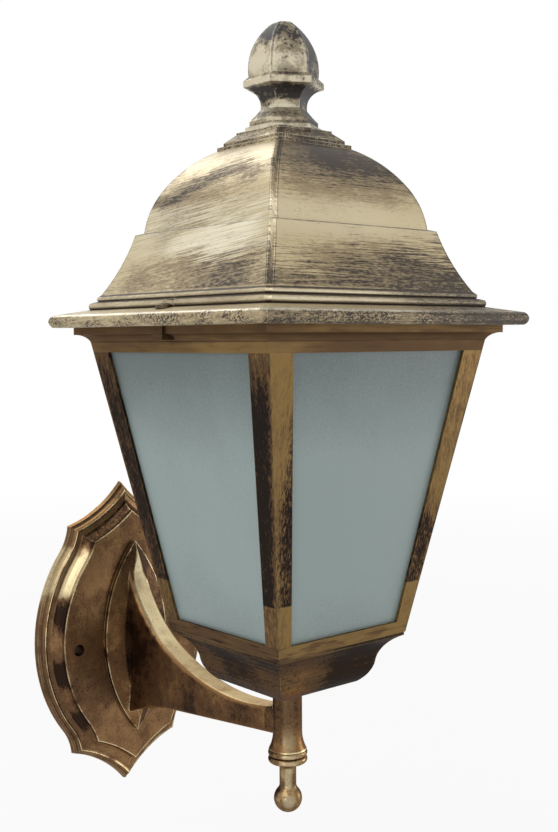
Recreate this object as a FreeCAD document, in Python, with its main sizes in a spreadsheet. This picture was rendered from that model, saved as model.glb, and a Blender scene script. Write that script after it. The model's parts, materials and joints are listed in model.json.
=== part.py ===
import FreeCAD, Part
import math
import os
import Sketcher

# Four-sided wall lantern on a cast arm and a scalloped wall plate.
# The wall is the plane y = 0, the lantern stands out towards -Y, and +Z is up.
# The origin is the centre of the plate's back.

DIMENSIONS = [
    # wall plate, seen from the front
    ("plate_half_height", 81.0),
    ("plate_half_width", 51.8),
    ("plate_corner_across", 31.6),
    ("plate_corner_up", 60.0),
    ("plate_shoulder_across", 36.5),
    ("plate_shoulder_up", 47.0),
    ("plate_end_hollow", 3.0),
    # wall plate, its mouldings from the rim inwards
    ("rim_rise", 2.6),
    ("rim_draft", 0.4),
    ("rim_round", 0.4),
    ("bead_inset", 1.6),
    ("bead_draft", 0.4),
    ("bead_rise", 6.2),
    ("bead_round", 1.0),
    ("bead_width", 2.0),
    ("bead_fall", 0.4),
    ("cove_width", 6.0),
    ("field_rise", 13.0),
    # wall plate, its hollow back and holes
    ("rim_wall", 3.4),
    ("rim_pocket", 2.2),
    ("plate_wall", 3.2),
    ("cove_wall", 3.0),
    ("wall_screw_across", 33.5),
    ("wall_screw_drop", 2.5),
    ("wall_screw_hole", 2.9),
    ("wall_screw_boss", 6.5),
    ("earth_drop", 43.0),
    ("earth_boss", 5.0),
    ("earth_boss_rise", 3.0),
    # arm
    ("flange_half_height", 50.5),
    ("flange_half_width", 18.7),
    ("flange_edge", 2.5),
    ("flange_crown", 2.5),
    ("crown_half_height", 43.0),
    ("crown_half_width", 9.0),
    ("arm_width", 12.0),
    ("arm_top_round", 2.6),
    ("arm_bottom_round", 1.6),
    ("arm_root_up", 49.5),
    ("arm_root_down", 40.0),
    ("arm_neck_reach", 24.5),
    ("arm_neck_up", 22.0),
    ("arm_neck_hollow", 2.2),
    ("arm_knee_reach", 51.5),
    ("arm_knee_drop", 0.3),
    ("arm_end_top_drop", 8.0),
    ("arm_end_low_drop", 21.0),
    ("arm_heel_reach", 48.0),
    ("arm_heel_drop", 30.2),
    ("arm_heel_hollow", 0.8),
    ("wire_way_drop", 17.2),
    ("wire_way_radius", 2.8),
    ("arm_screw_up", 18.0),
    ("arm_screw_down", 30.0),
    ("arm_screw_bite", 10.0),
    # lantern axis, hub and tube
    ("axis_offset", 136.7),
    ("hub_radius", 6.6),
    ("hub_drop", 28.2),
    ("hub_height", 31.2),
    ("hub_flare_radius", 8.6),
    ("hub_flare_height", 8.0),
    ("tube_radius", 4.0),
    ("tube_bore", 2.6),
    ("tube_bite", 5.6),
    ("slide_gap", 0.2),
    ("thread_gap", 0.05),
    ("washer_radius", 9.0),
    ("washer_height", 1.2),
    ("nut_across_flats", 13.0),
    ("nut_height", 6.5),
    # drop finial
    ("ring_radius", 8.9),
    ("ring_waist", 7.9),
    ("ring_height", 6.0),
    ("stem_radius", 3.8),
    ("stem_shoulder", 2.6),
    ("stem_hollow", 0.9),
    ("ball_radius", 6.4),
    ("ball_throat", 0.9),
    ("ball_throat_height", 2.4),
    ("ball_throat_hollow", 0.25),
    ("drop_length", 29.2),
    # bottom pan
    ("pan_foot_half", 22.0),
    ("pan_waist_half", 28.0),
    ("pan_waist_up", 10.5),
    ("pan_belly", 1.3),
    ("pan_lip_inset", 0.4),
    ("pan_lip_edge", 1.5),
    ("pan_lip_width", 7.0),
    ("pan_hollow", 1.7),
    ("pan_height", 22.8),
    ("pan_floor", 3.0),
    ("pan_wall", 3.0),
    ("pan_screw_inset", 10.5),
    ("pan_screw_bite", 4.6),
    ("pan_pad_radius", 3.4),
    ("pan_pad_height", 6.6),
    # cage
    ("cage_foot_half", 37.3),
    ("cage_neck_half", 61.6),
    ("cage_height", 135.6),
    ("crown_height", 6.4),
    ("crown_reach", 5.4),
    ("crown_edge", 3.2),
    ("crown_cove", 1.0),
    ("foot_tab_radius", 5.0),
    ("foot_tab_height", 2.4),
    ("face_wall", 1.4),
    ("pane_thickness", 2.6),
    ("pane_gap", 0.15),
    ("slot_core", 1.2),
    ("rib_wall", 1.6),
    ("stile_foot", 7.5),
    ("stile_neck", 12.1),
    ("window_low", 5.5),
    ("window_head", 10.9),
    ("pane_seat", 1.9),
    ("lug_proud", 1.2),
    ("lug_width", 6.4),
    ("lug_height", 5.6),
    # roof, from the eave upwards and inwards
    ("eave_reach", 8.8),
    ("eave_edge", 5.4),
    ("eave_round", 1.6),
    ("eave_shelf", 13.5),
    ("eave_fall", 2.4),
    ("base_height", 2.8),
    ("base_step", 2.7),
    ("base_groove", 0.9),
    ("collar_height", 1.9),
    ("collar_step", 1.0),
    ("slope_height", 26.1),
    ("slope_run", 11.0),
    ("slope_hollow", 1.0),
    ("step_inset", 2.8),
    ("dome_foot", 0.8),
    ("dome_height", 17.0),
    ("dome_run", 5.3),
    ("dome_bulge", 0.9),
    ("haunch_height", 18.0),
    ("haunch_bulge", 1.8),
    ("plinth_half", 21.6),
    ("plinth_edge", 1.6),
    ("plinth_step", 2.0),
    ("plinth_upper_edge", 1.8),
    ("roof_cap_height", 4.4),
    ("roof_cap_half", 15.6),
    ("roof_wall", 3.0),
    ("roof_seat", 10.0),
    ("hip_flat", 2.6),
    ("roof_screw_inset", 2.4),
    ("roof_screw_recess", 4.4),
    ("roof_screw_seat", 1.4),
    ("roof_screw_tail", 1.0),
    # top finial
    ("finial_base", 14.9),
    ("finial_base_edge", 1.6),
    ("finial_base_bevel", 0.8),
    ("finial_step", 13.2),
    ("finial_step_rise", 4.4),
    ("finial_shoulder", 11.0),
    ("finial_shoulder_rise", 6.8),
    ("finial_neck", 9.0),
    ("finial_neck_rise", 9.4),
    ("finial_flare", 2.4),
    ("finial_brim", 15.5),
    ("finial_brim_rise", 18.8),
    ("finial_brim_edge", 2.6),
    ("finial_acorn", 13.4),
    ("finial_acorn_rise", 23.4),
    ("finial_acorn_bulge", 2.8),
    ("finial_crown", 5.4),
    ("finial_crown_fall", 1.7),
    ("finial_crown_bulge", 0.5),
    ("finial_tip", 1.0),
    ("finial_height", 47.2),
    ("stud_radius", 3.0),
    ("stud_bite", 14.0),
    ("stud_nut_flats", 10.0),
    ("stud_nut_height", 5.0),
    ("stud_washer_radius", 8.0),
    ("stud_washer_height", 1.2),
    ("stud_tail", 2.0),
    # lampholder and bulb
    ("holder_radius", 19.0),
    ("holder_height", 45.0),
    ("holder_lift", 1.6),
    ("holder_collar", 9.0),
    ("holder_collar_height", 8.0),
    ("holder_shoulder", 6.0),
    ("holder_bulge", 1.5),
    ("holder_floor", 17.0),
    ("shell_radius", 14.6),
    ("shell_wall", 0.6),
    ("shell_height", 25.0),
    ("contact_radius", 5.0),
    ("contact_height", 1.6),
    ("bulb_cap_radius", 13.2),
    ("bulb_cap_height", 25.0),
    ("bulb_tip_radius", 4.6),
    ("bulb_tip_height", 2.4),
    ("bulb_neck_radius", 15.0),
    ("bulb_radius", 30.0),
    ("bulb_shoulder", 3.4),
    ("bulb_length", 108.0),
    # fasteners and terminals
    ("head_crown_share", 0.35),
    ("small_screw_radius", 1.25),
    ("small_head_radius", 2.4),
    ("small_head_height", 1.6),
    ("roof_screw_radius", 2.0),
    ("roof_head_radius", 3.5),
    ("roof_head_height", 2.4),
    ("arm_screw_radius", 2.5),
    ("arm_head_radius", 4.4),
    ("arm_head_height", 3.0),
    ("earth_screw_radius", 2.0),
    ("earth_head_radius", 3.8),
    ("earth_head_height", 2.6),
    ("terminal_length", 30.0),
    ("terminal_width", 14.0),
    ("terminal_depth", 8.4),
    ("terminal_up", 34.0),
    ("terminal_pitch", 10.0),
    ("terminal_bore", 2.0),
    ("terminal_screw_bite", 2.6),
]

doc = FreeCAD.newDocument("wall_lantern")
sheet = doc.addObject("Spreadsheet::Sheet", "sizes")
for row, (alias, number) in enumerate(DIMENSIONS, start=1):
    sheet.set(f"A{row}", alias.replace("_", " "))
    sheet.set(f"B{row}", str(number))
    sheet.setAlias(f"B{row}", alias)
doc.recompute()


class Size:
    """A length that knows its number and the sheet expression that gives it."""

    def __init__(self, number, text):
        self.number = number
        self.text = text

    def __add__(self, other):
        other = as_size(other)
        return Size(self.number + other.number, f"({self.text} + {other.text})")

    def __sub__(self, other):
        other = as_size(other)
        return Size(self.number - other.number, f"({self.text} - {other.text})")

    def __mul__(self, other):
        other = as_size(other)
        return Size(self.number * other.number, f"({self.text} * {other.text})")

    def __truediv__(self, other):
        other = as_size(other)
        return Size(self.number / other.number, f"({self.text} / {other.text})")

    def __neg__(self):
        return Size(-self.number, f"(0 - {self.text})")

    def root(self):
        return Size(math.sqrt(self.number), f"sqrt({self.text})")


def as_size(value):
    """A plain number becomes a size whose expression is that number."""
    return value if isinstance(value, Size) else Size(float(value), repr(float(value)))


class Sheet:
    """Every cell of the sheet as a size, under its alias."""

    def __getattr__(self, alias):
        return Size(float(sheet.get(alias)), f"sizes.{alias}")


s = Sheet()
ZERO = as_size(0)


def bind(target, path, size):
    """Tie one property of an object to the sheet."""
    target.setExpression(path, as_size(size).text)


def place(target, x=ZERO, y=ZERO, z=ZERO, axis=(0, 0, 1), angle=0):
    """Turn an object about an axis and tie its position to the sheet."""
    target.Placement = FreeCAD.Placement(
        FreeCAD.Vector(*(as_size(value).number for value in (x, y, z))),
        FreeCAD.Rotation(FreeCAD.Vector(*axis), angle),
    )
    for name, value in (("x", x), ("y", y), ("z", z)):
        bind(target, f"Placement.Base.{name}", value)


# Closed outlines: a path is a list of corners (across, up, bend).
# bend None is a straight run to the corner, a size is the rise of an arc over its chord,
# positive to the left of the run, a point is one that the arc passes through,
# and SMOOTH is an arc tangent to the run before it.
SMOOTH = "smooth"
QUARTER_RISE = 1 - math.sqrt(0.5)


def vector(point):
    return FreeCAD.Vector(as_size(point[0]).number, as_size(point[1]).number, 0)


def crest(first, last, bend):
    """A point that the arc from first to last passes through."""
    if isinstance(bend, tuple):
        return bend
    run = as_size(last[0]) - first[0]
    climb = as_size(last[1]) - first[1]
    chord = (run * run + climb * climb).root()
    across = (as_size(first[0]) + last[0]) / 2 - bend * climb / chord
    up = (as_size(first[1]) + last[1]) / 2 + bend * run / chord
    return across, up


def arc_through(first, middle, last):
    """An anticlockwise arc through three points, and whether it starts at the last one."""
    curve = Part.Arc(first, middle, last).toShape().Curve
    centre = curve.Center
    angles = [math.atan2(p.y - centre.y, p.x - centre.x) for p in (first, middle, last)]
    turn = 2 * math.pi
    forward = (angles[1] - angles[0]) % turn < (angles[2] - angles[0]) % turn
    low, high = (angles[0], angles[2]) if forward else (angles[2], angles[0])
    circle = Part.Circle(centre, FreeCAD.Vector(0, 0, 1), curve.Radius)
    return Part.ArcOfCircle(circle, low, high), not forward


def tangent_middle(first, heading, last):
    """The middle point of the arc that leaves first along heading and ends at last."""
    step = last - first
    normal = FreeCAD.Vector(-heading.y, heading.x, 0)
    reach = step.dot(step) / (2 * step.dot(normal))
    centre = first + normal * reach
    spoke = (first + last) * 0.5 - centre
    return centre + spoke * (abs(reach) / spoke.Length)


def draw(sketch, path):
    """Draw a closed path and tie each of its corners and arcs to the sheet."""
    rules = []
    bound = []
    ends = []

    def hold(geometry, point, across, up):
        for kind, axis, value in (("DistanceX", -2, across), ("DistanceY", -1, up)):
            value = as_size(value)
            if value.text == ZERO.text:
                rules.append(Sketcher.Constraint("PointOnObject", geometry, point, axis))
                continue
            rules.append(Sketcher.Constraint(kind, -1, 1, geometry, point, value.number))
            bound.append((len(rules) - 1, value.text))

    heading = None
    for index, (across, up, bend) in enumerate(path):
        before = path[index - 1]
        first, last = vector(before), vector((across, up))
        if bend is None:
            sketch.addGeometry(Part.LineSegment(first, last), False)
            ends.append((1, 2))
            heading = (last - first).normalize()
            continue
        if bend == SMOOTH:
            middle = tangent_middle(first, heading, last)
        else:
            middle = vector(crest(before, (across, up), bend))
        arc, backwards = arc_through(first, middle, last)
        sketch.addGeometry(arc, False)
        ends.append((2, 1) if backwards else (1, 2))
        spoke = last - arc.Center
        heading = FreeCAD.Vector(-spoke.y, spoke.x, 0).normalize() * (-1 if backwards else 1)
    for index, (across, up, bend) in enumerate(path):
        previous = (index - 1) % len(path)
        kind = "Tangent" if bend == SMOOTH else "Coincident"
        rules.append(Sketcher.Constraint(kind, previous, ends[previous][1], index, ends[index][0]))
        hold(index, ends[index][1], across, up)
        if bend is not None and bend != SMOOTH:
            top = crest(path[previous], (across, up), bend)
            marker = sketch.addGeometry(Part.Point(vector(top)), True)
            hold(marker, 1, *top)
            rules.append(Sketcher.Constraint("PointOnObject", marker, 1, index))
    sketch.addConstraint(rules)
    for index, text in bound:
        sketch.setExpression(f"Constraints[{index}]", text)


def mirrored(half):
    """A path through right-hand corners, listed upwards, and back down through their mirrors."""
    bends = [bend for _, _, bend in half[1:]] + [None]
    bends = [(-bend[0], bend[1]) if isinstance(bend, tuple) else bend for bend in bends]
    left = [(-as_size(across), up, bend) for (across, up, _), bend in zip(half, bends)]
    return half + left[::-1]


def upright_sketch(name, path, turn=0):
    """A sketch that stands on the XZ plane turned about Z."""
    sketch = doc.addObject("Sketcher::SketchObject", name)
    upright = FreeCAD.Rotation(FreeCAD.Vector(1, 0, 0), 90)
    sketch.Placement.Rotation = FreeCAD.Rotation(FreeCAD.Vector(0, 0, 1), turn) * upright
    draw(sketch, path)
    return sketch


def prism(name, path, length, turn=0):
    """An upright outline carried both ways from its plane."""
    solid = doc.addObject("Part::Extrusion", name)
    solid.Base = upright_sketch(f"{name}_outline", path, turn)
    solid.DirMode = "Normal"
    solid.Solid = True
    solid.Symmetric = True
    bind(solid, "LengthFwd", length)
    return solid


def common(name, solids):
    result = doc.addObject("Part::MultiCommon", name)
    result.Shapes = solids
    return result


def fused(name, solids):
    result = doc.addObject("Part::MultiFuse", name)
    result.Shapes = solids
    return result


def cut(name, solid, tools):
    result = doc.addObject("Part::Cut", name)
    result.Base = solid
    result.Tool = tools[0] if len(tools) == 1 else fused(f"{name}_tools", tools)
    return result


def sided(name, half, length, turns):
    """A form whose plan is a regular polygon: the same outline crossed at several turns."""
    return common(name, [prism(f"{name}_{turn}", mirrored(half), length, turn) for turn in turns])


SQUARE = (0, 90)
HEXAGON = (0, 60, 120)


def rod(name, radius, length, x=ZERO, y=ZERO, z=ZERO, axis=(0, 0, 1), angle=0):
    """A cylinder that stands on its place, along Z unless it is turned."""
    solid = doc.addObject("Part::Cylinder", name)
    bind(solid, "Radius", radius)
    bind(solid, "Height", length)
    place(solid, x, y, z, axis, angle)
    return solid


def block(name, length, width, height, x=ZERO, y=ZERO, z=ZERO):
    """A box centred on x, with its low y and low z corner at its place."""
    solid = doc.addObject("Part::Box", name)
    bind(solid, "Length", length)
    bind(solid, "Width", width)
    bind(solid, "Height", height)
    place(solid, as_size(x) - as_size(length) / 2, y, z)
    return solid


TO_FRONT = {"axis": (1, 0, 0), "angle": 90}
TO_BELOW = {"axis": (1, 0, 0), "angle": 180}


def plane_of(body, role):
    return next(plane for plane in body.Origin.OriginFeatures if plane.Role == role)


def body_sketch(body, role, path):
    sketch = body.newObject("Sketcher::SketchObject", f"{body.Name}_outline")
    sketch.AttachmentSupport = [(plane_of(body, role), "")]
    sketch.MapMode = "FlatFace"
    draw(sketch, path)
    return sketch


def turned(name, path):
    """A piece turned on a lathe: its half section revolved about its own Z axis."""
    body = doc.addObject("PartDesign::Body", name)
    sketch = body_sketch(body, "XZ_Plane", path)
    revolution = body.newObject("PartDesign::Revolution", f"{name}_turning")
    revolution.Profile = sketch
    revolution.ReferenceAxis = (sketch, ["V_Axis"])
    revolution.Angle = 360
    return body


def screw(name, radius, length, head_radius, head_height):
    """A round-headed screw: its head's seat is z = 0, its shank points up."""
    crown = head_height * s.head_crown_share
    return turned(name, [
        (ZERO, -head_height, None),
        (head_radius, -crown, -crown),
        (head_radius, ZERO, None),
        (radius, ZERO, None),
        (radius, length, None),
        (ZERO, length, None),
    ])


def hex_nut(name, flats, height, bore):
    """A six-sided nut on its own Z axis."""
    blank = doc.addObject("Part::Prism", f"{name}_blank")
    blank.Polygon = 6
    bind(blank, "Circumradius", flats / as_size(3).root())
    bind(blank, "Height", height)
    return cut(name, blank, [rod(f"{name}_bore", bore, height)])


def ring(name, radius, bore, height):
    return turned(name, [
        (bore, ZERO, None),
        (radius, ZERO, None),
        (radius, height, None),
        (bore, height, None),
    ])


def group(name, solids):
    """Like pieces that share one node."""
    result = doc.addObject("Part::Compound", name)
    result.Links = solids
    return result


def on_axis(target, z):
    place(target, ZERO, -s.axis_offset, z)
    return target


# Heights within the roof, from its underside
eave_top = s.eave_edge + s.eave_fall
base_top = eave_top + s.base_height
collar_low = base_top + s.base_groove
collar_high = collar_low + s.collar_height
slope_low = collar_high + s.base_groove
step_up = slope_low + s.slope_height
dome_low = step_up + s.dome_foot
haunch_up = dome_low + s.dome_height
plinth_low = haunch_up + s.haunch_height
plinth_mid = plinth_low + s.plinth_edge
plinth_high = plinth_mid + s.plinth_upper_edge
roof_height = plinth_high + s.roof_cap_height

# Heights that the lantern's pieces share
hub_low = -s.hub_drop
pan_low = hub_low + s.hub_height
cage_low = pan_low + s.pan_height
roof_low = cage_low + s.cage_height
finial_low = roof_low + roof_height
tube_low = hub_low - s.tube_bite
nut_low = pan_low + s.pan_floor + s.washer_height
holder_low = nut_low + s.nut_height + s.holder_lift
field = s.field_rise
sliding_bore = s.tube_radius + s.slide_gap
threaded_bore = s.tube_radius + s.thread_gap

nodes = []


def keep(target):
    nodes.append(target)
    return target


# Wall plate
def plate_wire(inset, rise):
    """The plate's outline, moved in by inset and out from the wall by rise.

    A quarter is three arcs: the hollow end from the cusp to the corner, the reversed
    curve from the corner to the shoulder, and half of the bulging side.
    """
    cusp = FreeCAD.Vector(0, s.plate_half_height.number, 0)
    corner = FreeCAD.Vector(s.plate_corner_across.number, s.plate_corner_up.number, 0)
    shoulder = FreeCAD.Vector(s.plate_shoulder_across.number, s.plate_shoulder_up.number, 0)
    reach = s.plate_half_width.number

    chord = corner - cusp
    hollow = s.plate_end_hollow.number
    end_radius = (chord.Length ** 2 / 4 + hollow ** 2) / (2 * hollow)
    outward = FreeCAD.Vector(-chord.y, chord.x, 0).normalize()
    end_centre = (cusp + corner) * 0.5 + outward * (end_radius - hollow)

    bulge = reach - shoulder.x
    side_radius = (shoulder.y ** 2 + bulge ** 2) / (2 * bulge)
    side_centre = FreeCAD.Vector(reach - side_radius, 0, 0)

    normal = (shoulder - side_centre).normalize()
    step = corner - shoulder
    turn_radius = step.dot(step) / (2 * step.dot(normal))
    turn_centre = shoulder + normal * turn_radius

    end_radius += inset
    side_radius -= inset
    turn_radius += inset
    inner_shoulder = side_centre + normal * side_radius
    inner_cusp = FreeCAD.Vector(0, end_centre.y - math.sqrt(end_radius ** 2 - end_centre.x ** 2), 0)
    span = turn_centre - end_centre
    along = (span.Length ** 2 + end_radius ** 2 - turn_radius ** 2) / (2 * span.Length)
    height = math.sqrt(end_radius ** 2 - along ** 2)
    ahead = FreeCAD.Vector(span).normalize()
    beside = FreeCAD.Vector(ahead.y, -ahead.x, 0)
    inner_corner = end_centre + ahead * along + beside * height

    def middle(centre, radius, first, last):
        spoke = (first + last) * 0.5 - centre
        return centre + spoke * (radius / spoke.Length)

    def seat(point, across, up):
        return FreeCAD.Vector(point.x * across, -rise, point.y * up)

    quarter = [
        (inner_cusp, middle(end_centre, end_radius, inner_cusp, inner_corner), inner_corner),
        (inner_corner, middle(turn_centre, turn_radius, inner_corner, inner_shoulder), inner_shoulder),
    ]
    low_shoulder = FreeCAD.Vector(inner_shoulder.x, -inner_shoulder.y, 0)
    side = FreeCAD.Vector(side_centre.x + side_radius, 0, 0)
    right = [(a, b, c, 1) for a, b, c in quarter] + [(inner_shoulder, side, low_shoulder, 1)]
    right += [(c, b, a, -1) for a, b, c in reversed(quarter)]
    edges = [Part.Arc(*(seat(p, 1, up) for p in points)).toShape() for *points, up in right]
    edges += [Part.Arc(*(seat(p, -1, up) for p in reversed(points))).toShape()
              for *points, up in reversed(right)]
    return Part.Wire(edges)


def plate_slab(inset, low, high):
    face = Part.Face(plate_wire(inset, low))
    return face.extrude(FreeCAD.Vector(0, low - high, 0))


def plate_blank():
    """The moulded front: rim, bead, cove and flat field, with two steps of hollow behind."""
    bead_outer = s.bead_inset + s.bead_draft
    cove_inset = (bead_outer + s.bead_width).number
    cove_depth = (field - s.bead_rise + s.bead_fall).number
    sections = [
        (0, 0),
        (s.rim_draft.number, s.rim_rise.number),
        (s.bead_inset.number, (s.rim_rise + s.rim_round).number),
        (bead_outer.number, (s.bead_rise - s.bead_round).number),
        ((bead_outer + s.bead_width / 2).number, s.bead_rise.number),
    ]
    cove_steps = 5
    for step in range(cove_steps + 1):
        angle = math.pi / 2 * step / cove_steps
        inset = cove_inset + s.cove_width.number * math.sin(angle)
        sections.append((inset, field.number - cove_depth * math.cos(angle)))
    solid = Part.makeLoft([plate_wire(*section) for section in sections], True, True)
    back_inset = cove_inset + s.cove_width.number + s.cove_wall.number
    back_depth = (field - s.plate_wall).number
    hollow = plate_slab(s.rim_wall.number, 0, s.rim_pocket.number)
    hollow = hollow.fuse(plate_slab(back_inset, 0, back_depth))
    return solid.cut(hollow)


def through_plate(name, radius, x=ZERO, z=ZERO):
    return rod(name, radius, field, x, ZERO, z, **TO_FRONT)


moulding = doc.addObject("Part::Feature", "plate_moulding")
moulding.Shape = plate_blank()
back_floor = field - s.plate_wall
wall_screw_places = (-s.wall_screw_across, s.wall_screw_across)
arm_screw_places = (-s.arm_screw_down, s.arm_screw_up)
bosses = [through_plate(f"wall_boss_{i}", s.wall_screw_boss, x, -s.wall_screw_drop)
          for i, x in enumerate(wall_screw_places)]
for boss in bosses:
    bind(boss, "Height", field - s.plate_wall / 2)
earth_boss = rod("earth_boss_solid", s.earth_boss, s.earth_boss_rise + s.plate_wall / 2,
                 ZERO, s.earth_boss_rise - back_floor, -s.earth_drop, **TO_FRONT)
plate_holes = [through_plate(f"wall_hole_{i}", s.wall_screw_hole, x, -s.wall_screw_drop)
               for i, x in enumerate(wall_screw_places)]
plate_holes += [through_plate(f"arm_hole_{i}", s.arm_screw_radius + s.slide_gap, ZERO, z)
                for i, z in enumerate(arm_screw_places)]
plate_holes.append(through_plate("wire_hole", s.wire_way_radius, ZERO, -s.wire_way_drop))
plate_holes.append(through_plate("earth_hole", s.earth_screw_radius + s.thread_gap, ZERO, -s.earth_drop))
terminal_hole_depth = s.terminal_screw_bite + s.slide_gap
plate_holes.append(rod("terminal_hole", s.small_screw_radius + s.thread_gap, terminal_hole_depth,
                       ZERO, -back_floor, s.terminal_up, **TO_FRONT))
plate_solid = fused("plate_solid", [moulding, *bosses, earth_boss])
keep(cut("wall_plate", plate_solid, plate_holes))


# Arm: lens-shaped flange, curved web and upright hub
def lens(name, half_width, half_height, out):
    path = [
        (ZERO, half_height, half_width),
        (ZERO, -half_height, half_width),
    ]
    sketch = upright_sketch(name, path)
    bind(sketch, "Placement.Base.y", -out)
    return sketch


flange_front = field + s.flange_edge
flange = doc.addObject("Part::Extrusion", "arm_flange")
flange.Base = lens("flange_back_outline", s.flange_half_width, s.flange_half_height, field)
flange.DirMode = "Normal"
flange.Solid = True
bind(flange, "LengthFwd", s.flange_edge)
flange_crown = doc.addObject("Part::Loft", "arm_flange_crown")
flange_crown.Sections = [
    lens("flange_front_outline", s.flange_half_width, s.flange_half_height, flange_front),
    lens("flange_crown_outline", s.crown_half_width, s.crown_half_height, flange_front + s.flange_crown),
]
flange_crown.Solid = True
flange_crown.Ruled = True

web = doc.addObject("PartDesign::Body", "arm_web")
web_sketch = body_sketch(web, "YZ_Plane", [
    (-flange_front, s.arm_root_up, None),
    (-s.arm_neck_reach, s.arm_neck_up, s.arm_neck_hollow),
    (-s.arm_knee_reach, -s.arm_knee_drop, SMOOTH),
    (-s.axis_offset, -s.arm_end_top_drop, SMOOTH),
    (-s.axis_offset, -s.arm_end_low_drop, None),
    (-s.arm_heel_reach, -s.arm_heel_drop, None),
    (-flange_front, -s.arm_root_down, s.arm_heel_hollow),
])
web_pad = web.newObject("PartDesign::Pad", "arm_web_pad")
web_pad.Profile = web_sketch
web_pad.SideType = "Symmetric"
bind(web_pad, "Length", s.arm_width)
doc.recompute()


def side_edges(shape, low, high):
    """Names of the long edges of the web's two faces whose middle height is in a range."""
    names = []
    for index, edge in enumerate(shape.Edges, start=1):
        ends = [abs(vertex.Point.x) for vertex in edge.Vertexes]
        middle = edge.valueAt((edge.FirstParameter + edge.LastParameter) / 2)
        sideways = min(ends) > s.arm_width.number / 2 - s.thread_gap.number
        upright = abs(edge.Vertexes[0].Point.y - edge.Vertexes[-1].Point.y) < s.thread_gap.number
        if sideways and not upright and low < middle.z < high:
            names.append(f"Edge{index}")
    return names


top_round = web.newObject("PartDesign::Fillet", "arm_top_rounding")
top_round.Base = (web_pad, side_edges(web_pad.Shape, -s.wire_way_drop.number, s.arm_root_up.number))
bind(top_round, "Radius", s.arm_top_round)
doc.recompute()
low_round = web.newObject("PartDesign::Fillet", "arm_low_rounding")
low_round.Base = (top_round, side_edges(top_round.Shape, -s.arm_root_down.number, -s.wire_way_drop.number))
bind(low_round, "Radius", s.arm_bottom_round)

web_limit = doc.addObject("Part::Extrusion", "arm_web_limit")
web_limit.Base = lens("web_limit_outline", s.flange_half_width, s.flange_half_height, field)
web_limit.DirMode = "Normal"
web_limit.Solid = True
bind(web_limit, "LengthFwd", s.axis_offset)
trimmed_web = common("arm_trimmed_web", [web, web_limit])

hub = on_axis(turned("arm_hub", [
    (ZERO, s.hub_height, None),
    (s.hub_radius, s.hub_height, None),
    (s.hub_radius, s.hub_flare_height, None),
    (s.hub_flare_radius, ZERO, SMOOTH),
    (ZERO, ZERO, None),
]), hub_low)
hub_bore = on_axis(rod("arm_hub_bore", sliding_bore, s.hub_height), hub_low)
wire_way = rod("arm_wire_way", s.wire_way_radius, s.axis_offset - field, ZERO, -field, -s.wire_way_drop,
               **TO_FRONT)
arm_taps = [rod(f"arm_tap_{i}", s.arm_screw_radius + s.thread_gap, s.arm_screw_bite + s.slide_gap,
                ZERO, -field, z, **TO_FRONT) for i, z in enumerate(arm_screw_places)]
arm_solid = fused("arm_solid", [trimmed_web, flange, flange_crown, hub])
keep(cut("arm", arm_solid, [hub_bore, wire_way, *arm_taps]))

arm_screws = []
for i, z in enumerate(arm_screw_places):
    piece = screw(f"arm_screw_{i}", s.arm_screw_radius, s.plate_wall + s.arm_screw_bite,
                  s.arm_head_radius, s.arm_head_height)
    place(piece, ZERO, -back_floor, z, **TO_FRONT)
    arm_screws.append(piece)
keep(group("arm_screws", arm_screws))

earth_bite = s.earth_boss_rise + s.plate_wall - s.slide_gap
earth_screw = keep(screw("earth_screw", s.earth_screw_radius, earth_bite,
                         s.earth_head_radius, s.earth_head_height))
place(earth_screw, ZERO, s.earth_boss_rise - back_floor, -s.earth_drop, **TO_FRONT)

# Terminal block with three wire ways, flat on the back of the plate's field
terminal_low = s.terminal_up - s.terminal_width / 2
terminal_body = block("terminal_body", s.terminal_length, s.terminal_depth, s.terminal_width,
                      ZERO, -back_floor, terminal_low)
terminal_holes = [
    rod(f"terminal_way_{i}", s.terminal_bore, s.terminal_width, s.terminal_pitch * i,
        s.terminal_depth / 2 - back_floor, terminal_low)
    for i in (-1, 1)
]
terminal_holes.append(rod("terminal_screw_way", s.small_screw_radius + s.slide_gap, s.terminal_depth,
                          ZERO, s.terminal_depth - back_floor, s.terminal_up, **TO_FRONT))
terminal_holes.append(rod("terminal_head_way", s.small_head_radius + s.slide_gap, s.terminal_depth / 2,
                          ZERO, s.terminal_depth - back_floor, s.terminal_up, **TO_FRONT))
keep(cut("terminal_block", terminal_body, terminal_holes))
terminal_screw = keep(screw("terminal_screw", s.small_screw_radius,
                            s.terminal_depth / 2 + s.terminal_screw_bite,
                            s.small_head_radius, s.small_head_height))
place(terminal_screw, ZERO, s.terminal_depth / 2 - back_floor, s.terminal_up, **TO_FRONT)

# Tube, washer and nut on the lantern's axis
tube_high = holder_low + s.holder_collar_height
on_axis(keep(ring("threaded_tube", s.tube_radius, s.tube_bore, tube_high - tube_low)), tube_low)
on_axis(keep(ring("tube_washer", s.washer_radius, sliding_bore, s.washer_height)), pan_low + s.pan_floor)
on_axis(keep(hex_nut("tube_nut", s.nut_across_flats, s.nut_height, threaded_bore)), nut_low)

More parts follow.
